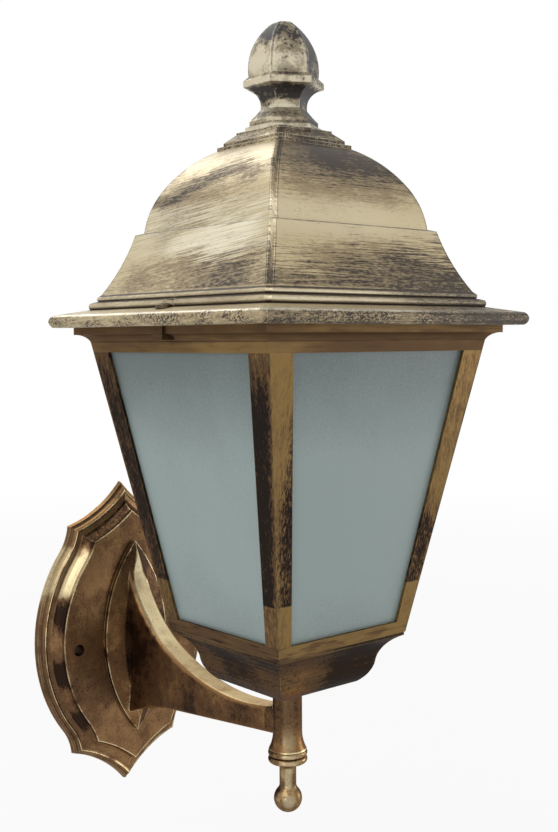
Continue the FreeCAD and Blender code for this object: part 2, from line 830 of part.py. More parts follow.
# Drop finial: ring of two beads, stem and ball, bored for the tube
bead_height = s.ring_height / 2
bead_swell = s.ring_radius - s.ring_waist
ball_centre = s.ball_radius - s.drop_length
throat = s.stem_radius + s.ball_throat
throat_low = ball_centre + (s.ball_radius * s.ball_radius - throat * throat).root()
ball_shoulder = s.ball_radius - (s.ball_radius * (s.ball_radius + throat) / 2).root()
bore_depth = s.tube_bite + s.slide_gap
on_axis(keep(turned("drop_finial", [
    (ZERO, -bore_depth, None),
    (threaded_bore, -bore_depth, None),
    (threaded_bore, ZERO, None),
    (s.ring_waist, ZERO, None),
    (s.ring_waist, -bead_height, bead_swell),
    (s.ring_waist, -s.ring_height, bead_swell),
    (s.stem_radius, -s.ring_height - s.stem_shoulder, -s.stem_hollow),
    (s.stem_radius, throat_low + s.ball_throat_height, None),
    (throat, throat_low, -s.ball_throat_hollow),
    (s.ball_radius, ball_centre, ball_shoulder),
    (ZERO, -s.drop_length, s.ball_radius * QUARTER_RISE),
])), hub_low)

# Bottom pan: square ogee dish
pan_lip_half = s.cage_foot_half - s.pan_lip_inset
pan_wide = pan_lip_half * 3
pan_outer = sided("pan_outer", [
    (s.pan_foot_half, ZERO, None),
    (s.pan_waist_half, s.pan_waist_up, -s.pan_belly),
    (pan_lip_half, s.pan_height - s.pan_lip_edge, s.pan_hollow),
    (pan_lip_half, s.pan_height, None),
], pan_wide, SQUARE)
pan_inner = sided("pan_inner", [
    (s.pan_foot_half - s.pan_wall, s.pan_floor, None),
    (s.pan_waist_half - s.pan_wall, s.pan_waist_up, None),
    (pan_lip_half - s.pan_lip_width, s.pan_height, None),
], pan_wide, SQUARE)
pan_screw_out = s.cage_foot_half - s.pan_screw_inset
pan_corners = [(x, y) for x in (-pan_screw_out, pan_screw_out) for y in (-pan_screw_out, pan_screw_out)]
pan_tap_depth = s.pan_screw_bite + s.slide_gap
pan_dish = cut("pan_dish", pan_outer, [pan_inner])
pan_pads = [rod(f"pan_pad_{i}", s.pan_pad_radius, s.pan_pad_height, x, y, s.pan_height - s.pan_pad_height)
            for i, (x, y) in enumerate(pan_corners)]
pan_holes = [rod("pan_tube_hole", sliding_bore, s.pan_floor)]
pan_holes += [rod(f"pan_tap_{i}", s.small_screw_radius + s.thread_gap, pan_tap_depth,
                  x, y, s.pan_height - pan_tap_depth) for i, (x, y) in enumerate(pan_corners)]
pan_solid = fused("pan_solid", [pan_dish, *pan_pads])
on_axis(keep(cut("bottom_pan", pan_solid, pan_holes)), pan_low)

pan_screws = []
for i, (x, y) in enumerate(pan_corners):
    piece = screw(f"pan_screw_{i}", s.small_screw_radius, s.foot_tab_height + s.pan_screw_bite,
                  s.small_head_radius, s.small_head_height)
    place(piece, x, y - s.axis_offset, cage_low + s.foot_tab_height, **TO_BELOW)
    pan_screws.append(piece)
keep(group("pan_screws", pan_screws))

# Cage: tapered frame with a coved crown, pane slots, tabs in its foot and two lugs under the roof
cage_top = s.cage_height
cage_neck_up = cage_top - s.crown_height
cage_slope = (s.cage_neck_half - s.cage_foot_half) / cage_neck_up


def cage_half(up):
    return s.cage_foot_half + cage_slope * up


slant = (cage_slope * cage_slope + 1).root()
pane_room = s.pane_thickness + s.pane_gap * 2
slot_front = s.face_wall * slant
slot_back = (s.face_wall + pane_room) * slant
slot_side = slot_back + s.slot_core
cavity_inset = slot_back + s.rib_wall
crown_low = cage_top - s.crown_edge
crown_half = s.cage_neck_half + s.crown_reach
wide = crown_half * 3

cage_outer = sided("cage_outer", [
    (s.cage_foot_half, ZERO, None),
    (s.cage_neck_half, cage_neck_up, None),
    (crown_half, crown_low, s.crown_cove),
    (crown_half, cage_top, None),
], wide, SQUARE)
cage_cavity = sided("cage_cavity", [
    (s.cage_foot_half - cavity_inset, ZERO, None),
    (cage_half(cage_top) - cavity_inset, cage_top, None),
], wide, SQUARE)
window_high = cage_top - s.window_head
window = [
    (cage_half(s.window_low) - s.stile_foot, s.window_low, None),
    (cage_half(window_high) - s.stile_neck, window_high, None),
]
windows = [prism(f"cage_window_{turn}", mirrored(window), wide, turn) for turn in SQUARE]


def leaf(name, turn, front, back, side, low, high):
    """A leaning leaf of one side: between two depths behind the face, and clear of the corners."""
    section = [
        (cage_half(low) - back, low, None),
        (cage_half(low) - front, low, None),
        (cage_half(high) - front, high, None),
        (cage_half(high) - back, high, None),
    ]
    breadth = [
        (cage_half(low) - side, low, None),
        (cage_half(high) - side, high, None),
    ]
    return common(name, [
        prism(f"{name}_section", section, wide, turn),
        prism(f"{name}_breadth", mirrored(breadth), wide, turn + 90),
    ])


SIDES = {"right": 0, "back": 90, "left": 180, "front": 270}
pane_low = s.window_low - s.pane_seat
slots = [leaf(f"slot_{side}", turn, slot_front, slot_back, slot_side, pane_low, cage_top)
         for side, turn in SIDES.items()]
cage_blank = cut("cage_blank", cage_outer, [cage_cavity, *windows, *slots])
lug_length = s.crown_reach + s.lug_proud
lug_across = s.cage_neck_half + lug_length / 2
lugs = [block(f"cage_lug_{i}", lug_length, s.lug_width, s.lug_height, x, -s.lug_width / 2,
              cage_top - s.lug_height) for i, x in enumerate((-lug_across, lug_across))]
roof_screw_across = crown_half - s.roof_screw_inset
roof_screw_places = (-roof_screw_across, roof_screw_across)
roof_screw_bite = s.lug_height - s.roof_screw_tail
cage_taps = [rod(f"cage_tap_{i}", s.roof_screw_radius + s.thread_gap, roof_screw_bite + s.slide_gap,
                 x, ZERO, cage_top - roof_screw_bite - s.slide_gap)
             for i, x in enumerate(roof_screw_places)]
tabs = [rod(f"cage_tab_{i}", s.foot_tab_radius, s.foot_tab_height, x, y)
        for i, (x, y) in enumerate(pan_corners)]
tab_holes = [rod(f"cage_tab_hole_{i}", s.small_screw_radius + s.slide_gap, s.foot_tab_height, x, y)
             for i, (x, y) in enumerate(pan_corners)]
cage_solid = fused("cage_solid", [cage_blank, *lugs, *tabs])
on_axis(keep(cut("cage", cage_solid, [*cage_taps, *tab_holes])), cage_low)

for side, turn in SIDES.items():
    pane = leaf(f"pane_{side}", turn, (s.face_wall + s.pane_gap) * slant,
                (s.face_wall + s.pane_gap + s.pane_thickness) * slant, slot_side + s.pane_gap,
                pane_low, cage_top - s.pane_gap)
    on_axis(keep(pane), cage_low)

# Roof: eave slab, base mouldings, hollow slope, dome and plinth, with a flat along each hip
eave_half = crown_half + s.eave_reach
base_half = eave_half - s.eave_shelf
collar_half = base_half - s.base_step
slope_half = collar_half - s.collar_step
step_half = slope_half - s.slope_run
dome_half = step_half - s.step_inset
haunch_half = dome_half - s.dome_run
plinth_upper_half = s.plinth_half - s.plinth_step
roof_half = [
    (eave_half - s.eave_round, ZERO, None),
    (eave_half, s.eave_edge / 2, -s.eave_round / 4),
    (eave_half - s.eave_round, s.eave_edge, -s.eave_round / 4),
    (base_half, eave_top, None),
    (base_half, base_top, -s.base_groove / 2),
    (collar_half, collar_low, None),
    (collar_half, collar_high, -s.base_groove / 2),
    (slope_half, slope_low, None),
    (step_half, step_up, s.slope_hollow),
    (dome_half, dome_low, None),
    (haunch_half, haunch_up, -s.dome_bulge),
    (s.plinth_half, plinth_low, -s.haunch_bulge),
    (s.plinth_half, plinth_mid, None),
    (plinth_upper_half, plinth_mid, None),
    (plinth_upper_half, plinth_high, None),
    (s.roof_cap_half, roof_height - s.base_groove, None),
    (s.roof_cap_half, roof_height, None),
]
roof_wide = eave_half * 3
roof_square = sided("roof_square", roof_half, roof_wide, SQUARE)
diagonal = as_size(2).root()


def hip(point):
    """Where the roof's outline falls on the flat along a hip."""
    return point[0] * diagonal - s.hip_flat / 2, point[1]


hip_half = []
for before, (across, up, bend) in zip([None, *roof_half], roof_half):
    bend = bend and hip(crest(before, (across, up), bend))
    hip_half.append((*hip((across, up)), bend))
roof_hips = sided("roof_hips", hip_half, roof_wide, (45, 135))
roof_outer = common("roof_outer", [roof_square, roof_hips])
ceiling = plinth_low - s.roof_wall
roof_cavity = sided("roof_cavity", [
    (crown_half - s.roof_seat, ZERO, None),
    (slope_half - s.roof_wall, collar_high, None),
    (step_half - s.roof_wall, step_up, s.slope_hollow),
    (dome_half - s.roof_wall, dome_low, None),
    (haunch_half - s.roof_wall, haunch_up - s.roof_wall / 2, -s.dome_bulge),
    (s.plinth_half - s.roof_wall, ceiling, -s.haunch_bulge),
], roof_wide, SQUARE)
screw_seat = s.eave_edge + s.roof_screw_seat
roof_holes = [rod("roof_stud_hole", s.stud_radius + s.slide_gap, roof_height)]
for i, x in enumerate(roof_screw_places):
    roof_holes.append(rod(f"roof_screw_hole_{i}", s.roof_screw_radius + s.slide_gap, eave_top, x))
    roof_holes.append(rod(f"roof_screw_recess_{i}", s.roof_screw_recess, collar_high - screw_seat,
                          x, ZERO, screw_seat))
on_axis(keep(cut("roof", roof_outer, [roof_cavity, *roof_holes])), roof_low)

roof_screws = []
for i, x in enumerate(roof_screw_places):
    piece = screw(f"roof_screw_{i}", s.roof_screw_radius, screw_seat + roof_screw_bite,
                  s.roof_head_radius, s.roof_head_height)
    place(piece, x, -s.axis_offset, roof_low + screw_seat, **TO_BELOW)
    roof_screws.append(piece)
keep(group("roof_screws", roof_screws))

# Top finial: six-sided stepped foot, flared brim and acorn, on a stud through the roof
brim_top = s.finial_brim_rise + s.finial_brim_edge
finial_blank = sided("finial_blank", [
    (s.finial_base, ZERO, None),
    (s.finial_base, s.finial_base_edge, None),
    (s.finial_step, s.finial_base_edge + s.finial_base_bevel, None),
    (s.finial_step, s.finial_step_rise, None),
    (s.finial_shoulder, s.finial_shoulder_rise, None),
    (s.finial_neck, s.finial_neck_rise, None),
    (s.finial_brim, s.finial_brim_rise, s.finial_flare),
    (s.finial_brim, brim_top, None),
    (s.finial_acorn, s.finial_acorn_rise, None),
    (s.finial_crown, s.finial_height - s.finial_crown_fall, -s.finial_acorn_bulge),
    (s.finial_tip, s.finial_height, -s.finial_crown_bulge),
], s.finial_brim * 4, HEXAGON)
finial_bore = rod("finial_bore", s.stud_radius + s.thread_gap, s.stud_bite + s.slide_gap)
on_axis(keep(cut("top_finial", finial_blank, [finial_bore])), finial_low)

stud_washer_low = roof_low + ceiling - s.stud_washer_height
stud_nut_low = stud_washer_low - s.stud_nut_height
stud_low = stud_nut_low - s.stud_tail
on_axis(keep(turned("finial_stud", [
    (ZERO, ZERO, None),
    (s.stud_radius, ZERO, None),
    (s.stud_radius, finial_low + s.stud_bite - stud_low, None),
    (ZERO, finial_low + s.stud_bite - stud_low, None),
])), stud_low)
on_axis(keep(ring("finial_washer", s.stud_washer_radius, s.stud_radius + s.slide_gap,
                  s.stud_washer_height)), stud_washer_low)
on_axis(keep(hex_nut("finial_nut", s.stud_nut_flats, s.stud_nut_height,
                     s.stud_radius + s.thread_gap)), stud_nut_low)

# Lampholder: body with a threaded collar, screw shell and centre contact
shell_bore = s.shell_radius + s.slide_gap
collar_top = s.holder_collar_height + s.slide_gap
on_axis(keep(turned("lampholder_body", [
    (threaded_bore, ZERO, None),
    (s.holder_collar, ZERO, None),
    (s.holder_collar, s.holder_collar_height, None),
    (s.holder_radius, s.holder_collar_height + s.holder_shoulder, -s.holder_bulge),
    (s.holder_radius, s.holder_height, None),
    (shell_bore, s.holder_height, None),
    (shell_bore, s.holder_floor, None),
    (s.tube_bore, s.holder_floor, None),
    (s.tube_bore, collar_top, None),
    (threaded_bore, collar_top, None),
])), holder_low)
floor_up = holder_low + s.holder_floor
on_axis(keep(ring("lampholder_shell", s.shell_radius, s.shell_radius - s.shell_wall, s.shell_height)),
        floor_up)
on_axis(keep(turned("lampholder_contact", [
    (ZERO, ZERO, None),
    (s.contact_radius, ZERO, None),
    (s.contact_radius, s.contact_height, None),
    (ZERO, s.contact_height, None),
])), floor_up)

# Bulb: screw cap, flared neck and round globe
globe_up = s.bulb_length - s.bulb_radius
cap_low = s.bulb_tip_height
cap_high = cap_low + s.bulb_cap_height
on_axis(keep(turned("bulb", [
    (ZERO, ZERO, None),
    (s.bulb_tip_radius, ZERO, None),
    (s.bulb_cap_radius, cap_low, None),
    (s.bulb_cap_radius, cap_high, None),
    (s.bulb_neck_radius, cap_high, None),
    (s.bulb_radius, globe_up, s.bulb_shoulder),
    (ZERO, s.bulb_length, -s.bulb_radius * QUARTER_RISE),
])), floor_up + s.contact_height + s.thread_gap)

doc.recompute()


def check(objects):
    """Stop before anything is written if an object failed or a piece is not a sound solid."""
    for item in objects:
        if {"Invalid", "Error"} & set(item.State):
            raise RuntimeError(f"{item.Label} failed: {item.State}")
    for node in nodes:
        if node.Shape.isNull() or not node.Shape.isValid() or not node.Shape.Solids:
            raise RuntimeError(f"{node.Label} is not a sound solid")


check(doc.Objects)
os.makedirs("parts", exist_ok=True)
for node in nodes:
    node.Shape.exportStep(f"parts/{node.Label}.step")
    print(node.Label, len(node.Shape.Solids), round(node.Shape.Volume, 1))
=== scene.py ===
"""Studio scene of a four-sided wall lantern in a dry-brushed bronze finish.

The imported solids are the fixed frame. This script dresses each of them, adds the
screws with their cross recesses and threads, and sets up a pale floor, soft light
and a camera at the photograph's angle. All lengths are in metres, apart from those
of a Span or an Ease, which are in millimetres.
"""
from __future__ import annotations

import json
import logging
import math
from dataclasses import dataclass, field, replace
from enum import Enum
from functools import reduce
from itertools import product
from typing import Any, Iterable, Mapping, Optional, Sequence, Union

import bpy
import numpy as np
from mathutils import Matrix, Vector

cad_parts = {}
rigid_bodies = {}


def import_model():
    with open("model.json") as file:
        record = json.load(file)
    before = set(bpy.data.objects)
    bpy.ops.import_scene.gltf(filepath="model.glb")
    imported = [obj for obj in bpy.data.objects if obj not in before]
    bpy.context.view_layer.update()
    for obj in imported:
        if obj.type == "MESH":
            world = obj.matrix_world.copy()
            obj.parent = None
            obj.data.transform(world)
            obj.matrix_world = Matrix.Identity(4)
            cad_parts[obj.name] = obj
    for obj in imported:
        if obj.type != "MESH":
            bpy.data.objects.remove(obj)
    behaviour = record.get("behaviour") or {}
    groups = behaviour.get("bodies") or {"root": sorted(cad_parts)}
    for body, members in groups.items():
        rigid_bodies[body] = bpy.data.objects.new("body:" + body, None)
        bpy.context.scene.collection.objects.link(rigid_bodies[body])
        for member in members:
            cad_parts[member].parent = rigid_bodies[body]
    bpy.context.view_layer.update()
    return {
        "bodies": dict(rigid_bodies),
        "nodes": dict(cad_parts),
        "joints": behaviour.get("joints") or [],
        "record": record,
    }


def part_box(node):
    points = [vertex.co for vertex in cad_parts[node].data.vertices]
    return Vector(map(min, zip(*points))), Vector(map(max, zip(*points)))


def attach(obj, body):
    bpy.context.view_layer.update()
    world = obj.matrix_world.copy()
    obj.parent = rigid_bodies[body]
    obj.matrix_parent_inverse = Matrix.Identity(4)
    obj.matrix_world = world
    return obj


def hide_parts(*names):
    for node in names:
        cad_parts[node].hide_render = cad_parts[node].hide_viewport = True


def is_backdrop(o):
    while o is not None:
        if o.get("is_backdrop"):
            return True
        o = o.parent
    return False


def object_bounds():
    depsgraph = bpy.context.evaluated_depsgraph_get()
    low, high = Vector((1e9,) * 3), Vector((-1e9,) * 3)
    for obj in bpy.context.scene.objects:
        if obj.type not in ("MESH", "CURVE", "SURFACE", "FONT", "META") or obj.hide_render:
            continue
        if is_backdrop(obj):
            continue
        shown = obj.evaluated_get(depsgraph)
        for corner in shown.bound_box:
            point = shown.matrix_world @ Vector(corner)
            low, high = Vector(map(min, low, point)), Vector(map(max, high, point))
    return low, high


LOG = logging.getLogger("wall_lantern")
MM = 0.001  # a millimetre in metres
BODY = "root"
WHITE = (1.0, 1.0, 1.0, 1.0)

Triple = tuple[float, float, float]
Operand = Union["Tone", float]


@dataclass(frozen=True)
class Colour:
    """A paint colour as the eye reads it, from 0 to 255 a channel."""

    red: float
    green: float
    blue: float

    def linear(self) -> tuple[float, float, float, float]:
        """The colour as linear light, by sRGB's curve: a straight foot and a power above it.

        Returns:
            Red, green, blue and a full alpha, each from 0 to 1.
        """
        channels = []
        for channel in (self.red, self.green, self.blue):
            share = channel / 255
            if share <= 0.04045:
                channels.append(share / 12.92)
            else:
                channels.append(((share + 0.055) / 1.055) ** 2.4)
        return channels[0], channels[1], channels[2], 1.0


@dataclass(frozen=True)
class Span:
    """A stretch along one direction, in millimetres, and how far its ends are eased."""

    low: float
    high: float
    soft: float


@dataclass(frozen=True)
class Ease:
    """Where a treatment starts and where it is full, in millimetres."""

    start: float
    full: float


class Tone:
    """A number that changes over a surface, held as the output of a node."""

    def __init__(self, wiring: "Wiring", socket: bpy.types.NodeSocket) -> None:
        """Wrap an output of a node in some tree."""
        self.wiring = wiring
        self.socket = socket

    def math(self, operation: str, *operands: Operand) -> "Tone":
        """Add one Math node.

        Args:
            operation: The node's operation.
            operands: Its inputs in order.

        Returns:
            The node's result.
        """
        inputs = dict(enumerate(operands))
        node = self.wiring.add("ShaderNodeMath", {"operation": operation}, inputs)
        return Tone(self.wiring, node.outputs[0])

    def __add__(self, other: Operand) -> "Tone":
        """Sum."""
        return self.math("ADD", self, other)

    def __radd__(self, other: Operand) -> "Tone":
        """Sum with a plain number first."""
        return self.math("ADD", other, self)

    def __sub__(self, other: Operand) -> "Tone":
        """Difference."""
        return self.math("SUBTRACT", self, other)

    def __rsub__(self, other: Operand) -> "Tone":
        """Difference from a plain number."""
        return self.math("SUBTRACT", other, self)

    def __mul__(self, other: Operand) -> "Tone":
        """Product."""
        return self.math("MULTIPLY", self, other)

    def __rmul__(self, other: Operand) -> "Tone":
        """Product with a plain number first."""
        return self.math("MULTIPLY", other, self)

    def __abs__(self) -> "Tone":
        """Size without sign."""
        return self.math("ABSOLUTE", self)

    def root(self) -> "Tone":
        """Square root."""
        return self.math("SQRT", self)

    def most(self, other: Operand) -> "Tone":
        """The larger of two numbers."""
        return self.math("MAXIMUM", self, other)

    def least(self, other: Operand) -> "Tone":
        """The smaller of two numbers."""
        return self.math("MINIMUM", self, other)

    def ramp(self, low: Operand, high: Operand) -> "Tone":
        """A smooth step from 0 at low to 1 at high.

        Args:
            low: Where the step starts.
            high: Where it ends; below low, the step falls.

        Returns:
            The step, held between 0 and 1.
        """
        node = self.wiring.add(
            "ShaderNodeMapRange",
            {"interpolation_type": "SMOOTHSTEP"},
            {"Value": self, "From Min": low, "From Max": high},
        )
        return Tone(self.wiring, node.outputs[0])

    def between(self, low: float, high: float, soft: float) -> "Tone":
        """1 between two ends and 0 outside, each end eased by soft to either side."""
        return self.ramp(low - soft, low + soft) * self.ramp(high + soft, high - soft)

    def within(self, *spans: Span) -> "Tone":
        """1 inside any of some spans, 0 outside them."""
        bands = (self.between(span.low * MM, span.high * MM, span.soft * MM) for span in spans)
        return reduce(Tone.most, bands)

    def past(self, ease: Ease) -> "Tone":
        """A smooth step from an ease's start, 0, to where it is full, 1."""
        return self.ramp(ease.start * MM, ease.full * MM)


class Wiring:
    """The nodes of one tree, a material's or the world's."""

    def __init__(self, tree: bpy.types.NodeTree) -> None:
        """Start with the tree empty."""
        self.tree = tree
        self.tree.nodes.clear()

    def add(
        self,
        kind: str,
        settings: Optional[Mapping[str, Any]] = None,
        inputs: Optional[Mapping[Any, Any]] = None,
    ) -> bpy.types.Node:
        """Add any node.

        Args:
            kind: The node's type.
            settings: Its properties, set before its sockets.
            inputs: Values, tones or sockets by the input's name or number.

        Returns:
            The new node.
        """
        node = self.tree.nodes.new(kind)
        for name, value in (settings or {}).items():
            setattr(node, name, value)
        for name, value in (inputs or {}).items():
            target = node.inputs[name]
            source = value.socket if isinstance(value, Tone) else value
            if isinstance(source, bpy.types.NodeSocket):
                self.tree.links.new(source, target)
            else:
                target.default_value = source
        return node

    def watched(self) -> Tone:
        """Which rays end in the picture, straight, in a reflection or through glass.

        Returns:
            1 for such a ray, 0 for one that carries light to the object.
        """
        path = self.add("ShaderNodeLightPath").outputs
        watched = Tone(self, path["Is Camera Ray"]).most(Tone(self, path["Is Glossy Ray"]))
        return watched.most(Tone(self, path["Is Transmission Ray"]))


class Board(Wiring):
    """The node board of one material."""

    MIX_FACTOR, MIX_FIRST, MIX_SECOND, MIX_RESULT = 0, 6, 7, 2
    NOISE_ROUGHNESS = 0.55
    SAMPLES = 8
    EDGE_TURN = (0.995, 0.86)

    def __init__(self, name: str) -> None:
        """Start an empty material.

        Args:
            name: The material's name.
        """
        self.material = bpy.data.materials.new(name)
        self.material.use_nodes = True
        super().__init__(self.material.node_tree)
        self._coordinates: Optional[bpy.types.NodeSocket] = None

    def coordinates(self) -> bpy.types.NodeSocket:
        """Object coordinates, which are the frame's own metres."""
        if self._coordinates is None:
            self._coordinates = self.add("ShaderNodeTexCoord").outputs["Object"]
        return self._coordinates

    def split(self, vector: bpy.types.NodeSocket) -> tuple[Tone, Tone, Tone]:
        """A vector's three parts."""
        parts = self.add("ShaderNodeSeparateXYZ", inputs={0: vector}).outputs
        return Tone(self, parts[0]), Tone(self, parts[1]), Tone(self, parts[2])

    def axes(self, centre: Sequence[float] = (0, 0, 0)) -> tuple[Tone, Tone, Tone]:
        """Object coordinates measured from a centre.

        Args:
            centre: The point that reads as zero.

        Returns:
            The distances along X, Y and Z.
        """
        moved = self.add(
            "ShaderNodeVectorMath",
            {"operation": "SUBTRACT"},
            {0: self.coordinates(), 1: tuple(centre)},
        )
        return self.split(moved.outputs[0])

    def join(self, across: Tone, along: Tone, up: Tone) -> bpy.types.NodeSocket:
        """One place out of the distances along X, Y and Z."""
        return self.add("ShaderNodeCombineXYZ", inputs={0: across, 1: along, 2: up}).outputs[0]

    def noise(
        self,
        scale: Sequence[float],
        detail: float = 3.0,
        shift: float = 0.0,
        place: Optional[bpy.types.NodeSocket] = None,
    ) -> Tone:
        """Soft noise stretched by its scale along each axis.

        Args:
            scale: Grains to the metre along X, Y and Z.
            detail: Octaves of finer grain.
            shift: A move that gives the same noise another pattern.
            place: Where the noise is read; the object's own place if left out.

        Returns:
            Noise around one half.
        """
        source = place or self.coordinates()
        mapping = self.add(
            "ShaderNodeMapping",
            inputs={"Vector": source, "Scale": tuple(scale), "Location": (shift,) * 3},
        )
        texture = self.add(
            "ShaderNodeTexNoise",
            inputs={
                "Vector": mapping.outputs[0],
                "Scale": 1.0,
                "Detail": detail,
                "Roughness": self.NOISE_ROUGHNESS,
            },
        )
        return Tone(self, texture.outputs[0])

    def blend(self, share: Operand, first: Any, second: Any) -> bpy.types.NodeSocket:
        """Mix two colours.

        Args:
            share: How much of the second shows.
            first: A colour or a socket.
            second: A colour or a socket.

        Returns:
            The mixed colour's socket.
        """
        node = self.add(
            "ShaderNodeMix",
            {"data_type": "RGBA", "clamp_factor": True},
            {self.MIX_FACTOR: share, self.MIX_FIRST: first, self.MIX_SECOND: second},
        )
        return node.outputs[self.MIX_RESULT]

    def normal(self) -> bpy.types.NodeSocket:
        """The surface's own direction."""
        return self.add("ShaderNodeNewGeometry").outputs["Normal"]

    def agreement(self, first: Any, second: Any) -> Tone:
        """How far two directions of length one agree, from -1 to 1: their dot product."""
        node = self.add("ShaderNodeVectorMath", {"operation": "DOT_PRODUCT"}, {0: first, 1: second})
        return Tone(self, node.outputs["Value"])

    def toward(self, direction: Triple) -> Tone:
        """How far the surface faces a direction of length one, from -1 to 1."""
        return self.agreement(self.normal(), direction)

    def facing(self) -> tuple[Tone, Tone, Tone]:
        """How far the surface faces along X, Y and Z, each from -1 to 1."""
        return self.split(self.normal())

    def hollow(self, reach: float) -> Tone:
        """How deep a point lies in a recess with walls within reach, from 0 to 1."""
        settings = {"samples": self.SAMPLES, "only_local": True}
        node = self.add("ShaderNodeAmbientOcclusion", settings, {"Distance": reach})
        return 1 - Tone(self, node.outputs["AO"])

    def edge(self, reach: float) -> Tone:
        """How far the normal turns when edges are eased by reach: 0 on a face, 1 on an edge."""
        eased = self.add("ShaderNodeBevel", {"samples": self.SAMPLES}, {"Radius": reach})
        return self.agreement(eased.outputs[0], self.normal()).ramp(*self.EDGE_TURN)

    def bump(self, height: Tone, distance: float, strength: float = 1.0) -> bpy.types.NodeSocket:
        """The normal over a relief from 0 to 1, of the distance's depth at full strength."""
        inputs = {"Height": height, "Distance": distance, "Strength": strength}
        return self.add("ShaderNodeBump", inputs=inputs).outputs[0]

    def surface(self, sockets: Mapping[str, Any]) -> bpy.types.Material:
        """Close the board with a Principled surface, given its values, tones or sockets."""
        return self.close(self.add("ShaderNodeBsdfPrincipled", inputs=sockets))

    def close(self, shader: bpy.types.Node) -> bpy.types.Material:
        """Lead a shader to the material's output."""
        self.add("ShaderNodeOutputMaterial", inputs={"Surface": shader.outputs[0]})
        return self.material


class Stroke(Enum):
    """Which way the dry brush ran: few grains to the metre along it, many across."""

    LEVEL = (34.0, 34.0, 1200.0)
    UPRIGHT = (560.0, 560.0, 34.0)
    DABBED = (190.0, 190.0, 170.0)


@dataclass(frozen=True)
class Touch:
    """Where the brush treated one piece apart from its finish.

    Lift adds gilt, dark takes it away, the painted highlight brings the paint up to its
    shine, and still holds strokes and rubbed edges back. On many pieces lift and dark also
    carry painted light and shade besides the brush's own unevenness. Flow is the place at
    which strokes are read, where they bend with the piece.
    """

    lift: Operand = 0.0
    dark: Operand = 0.0
    painted_highlight: Operand = 0.0
    still: Operand = 0.0
    flow: Optional[bpy.types.NodeSocket] = None

    def __add__(self, other: "Touch") -> "Touch":
        """Both treatments of a piece together, with the first one's flow if it has one."""
        return Touch(
            self.lift + other.lift,
            self.dark + other.dark,
            self.painted_highlight + other.painted_highlight,
            self.still + other.still,
            self.flow or other.flow,
        )


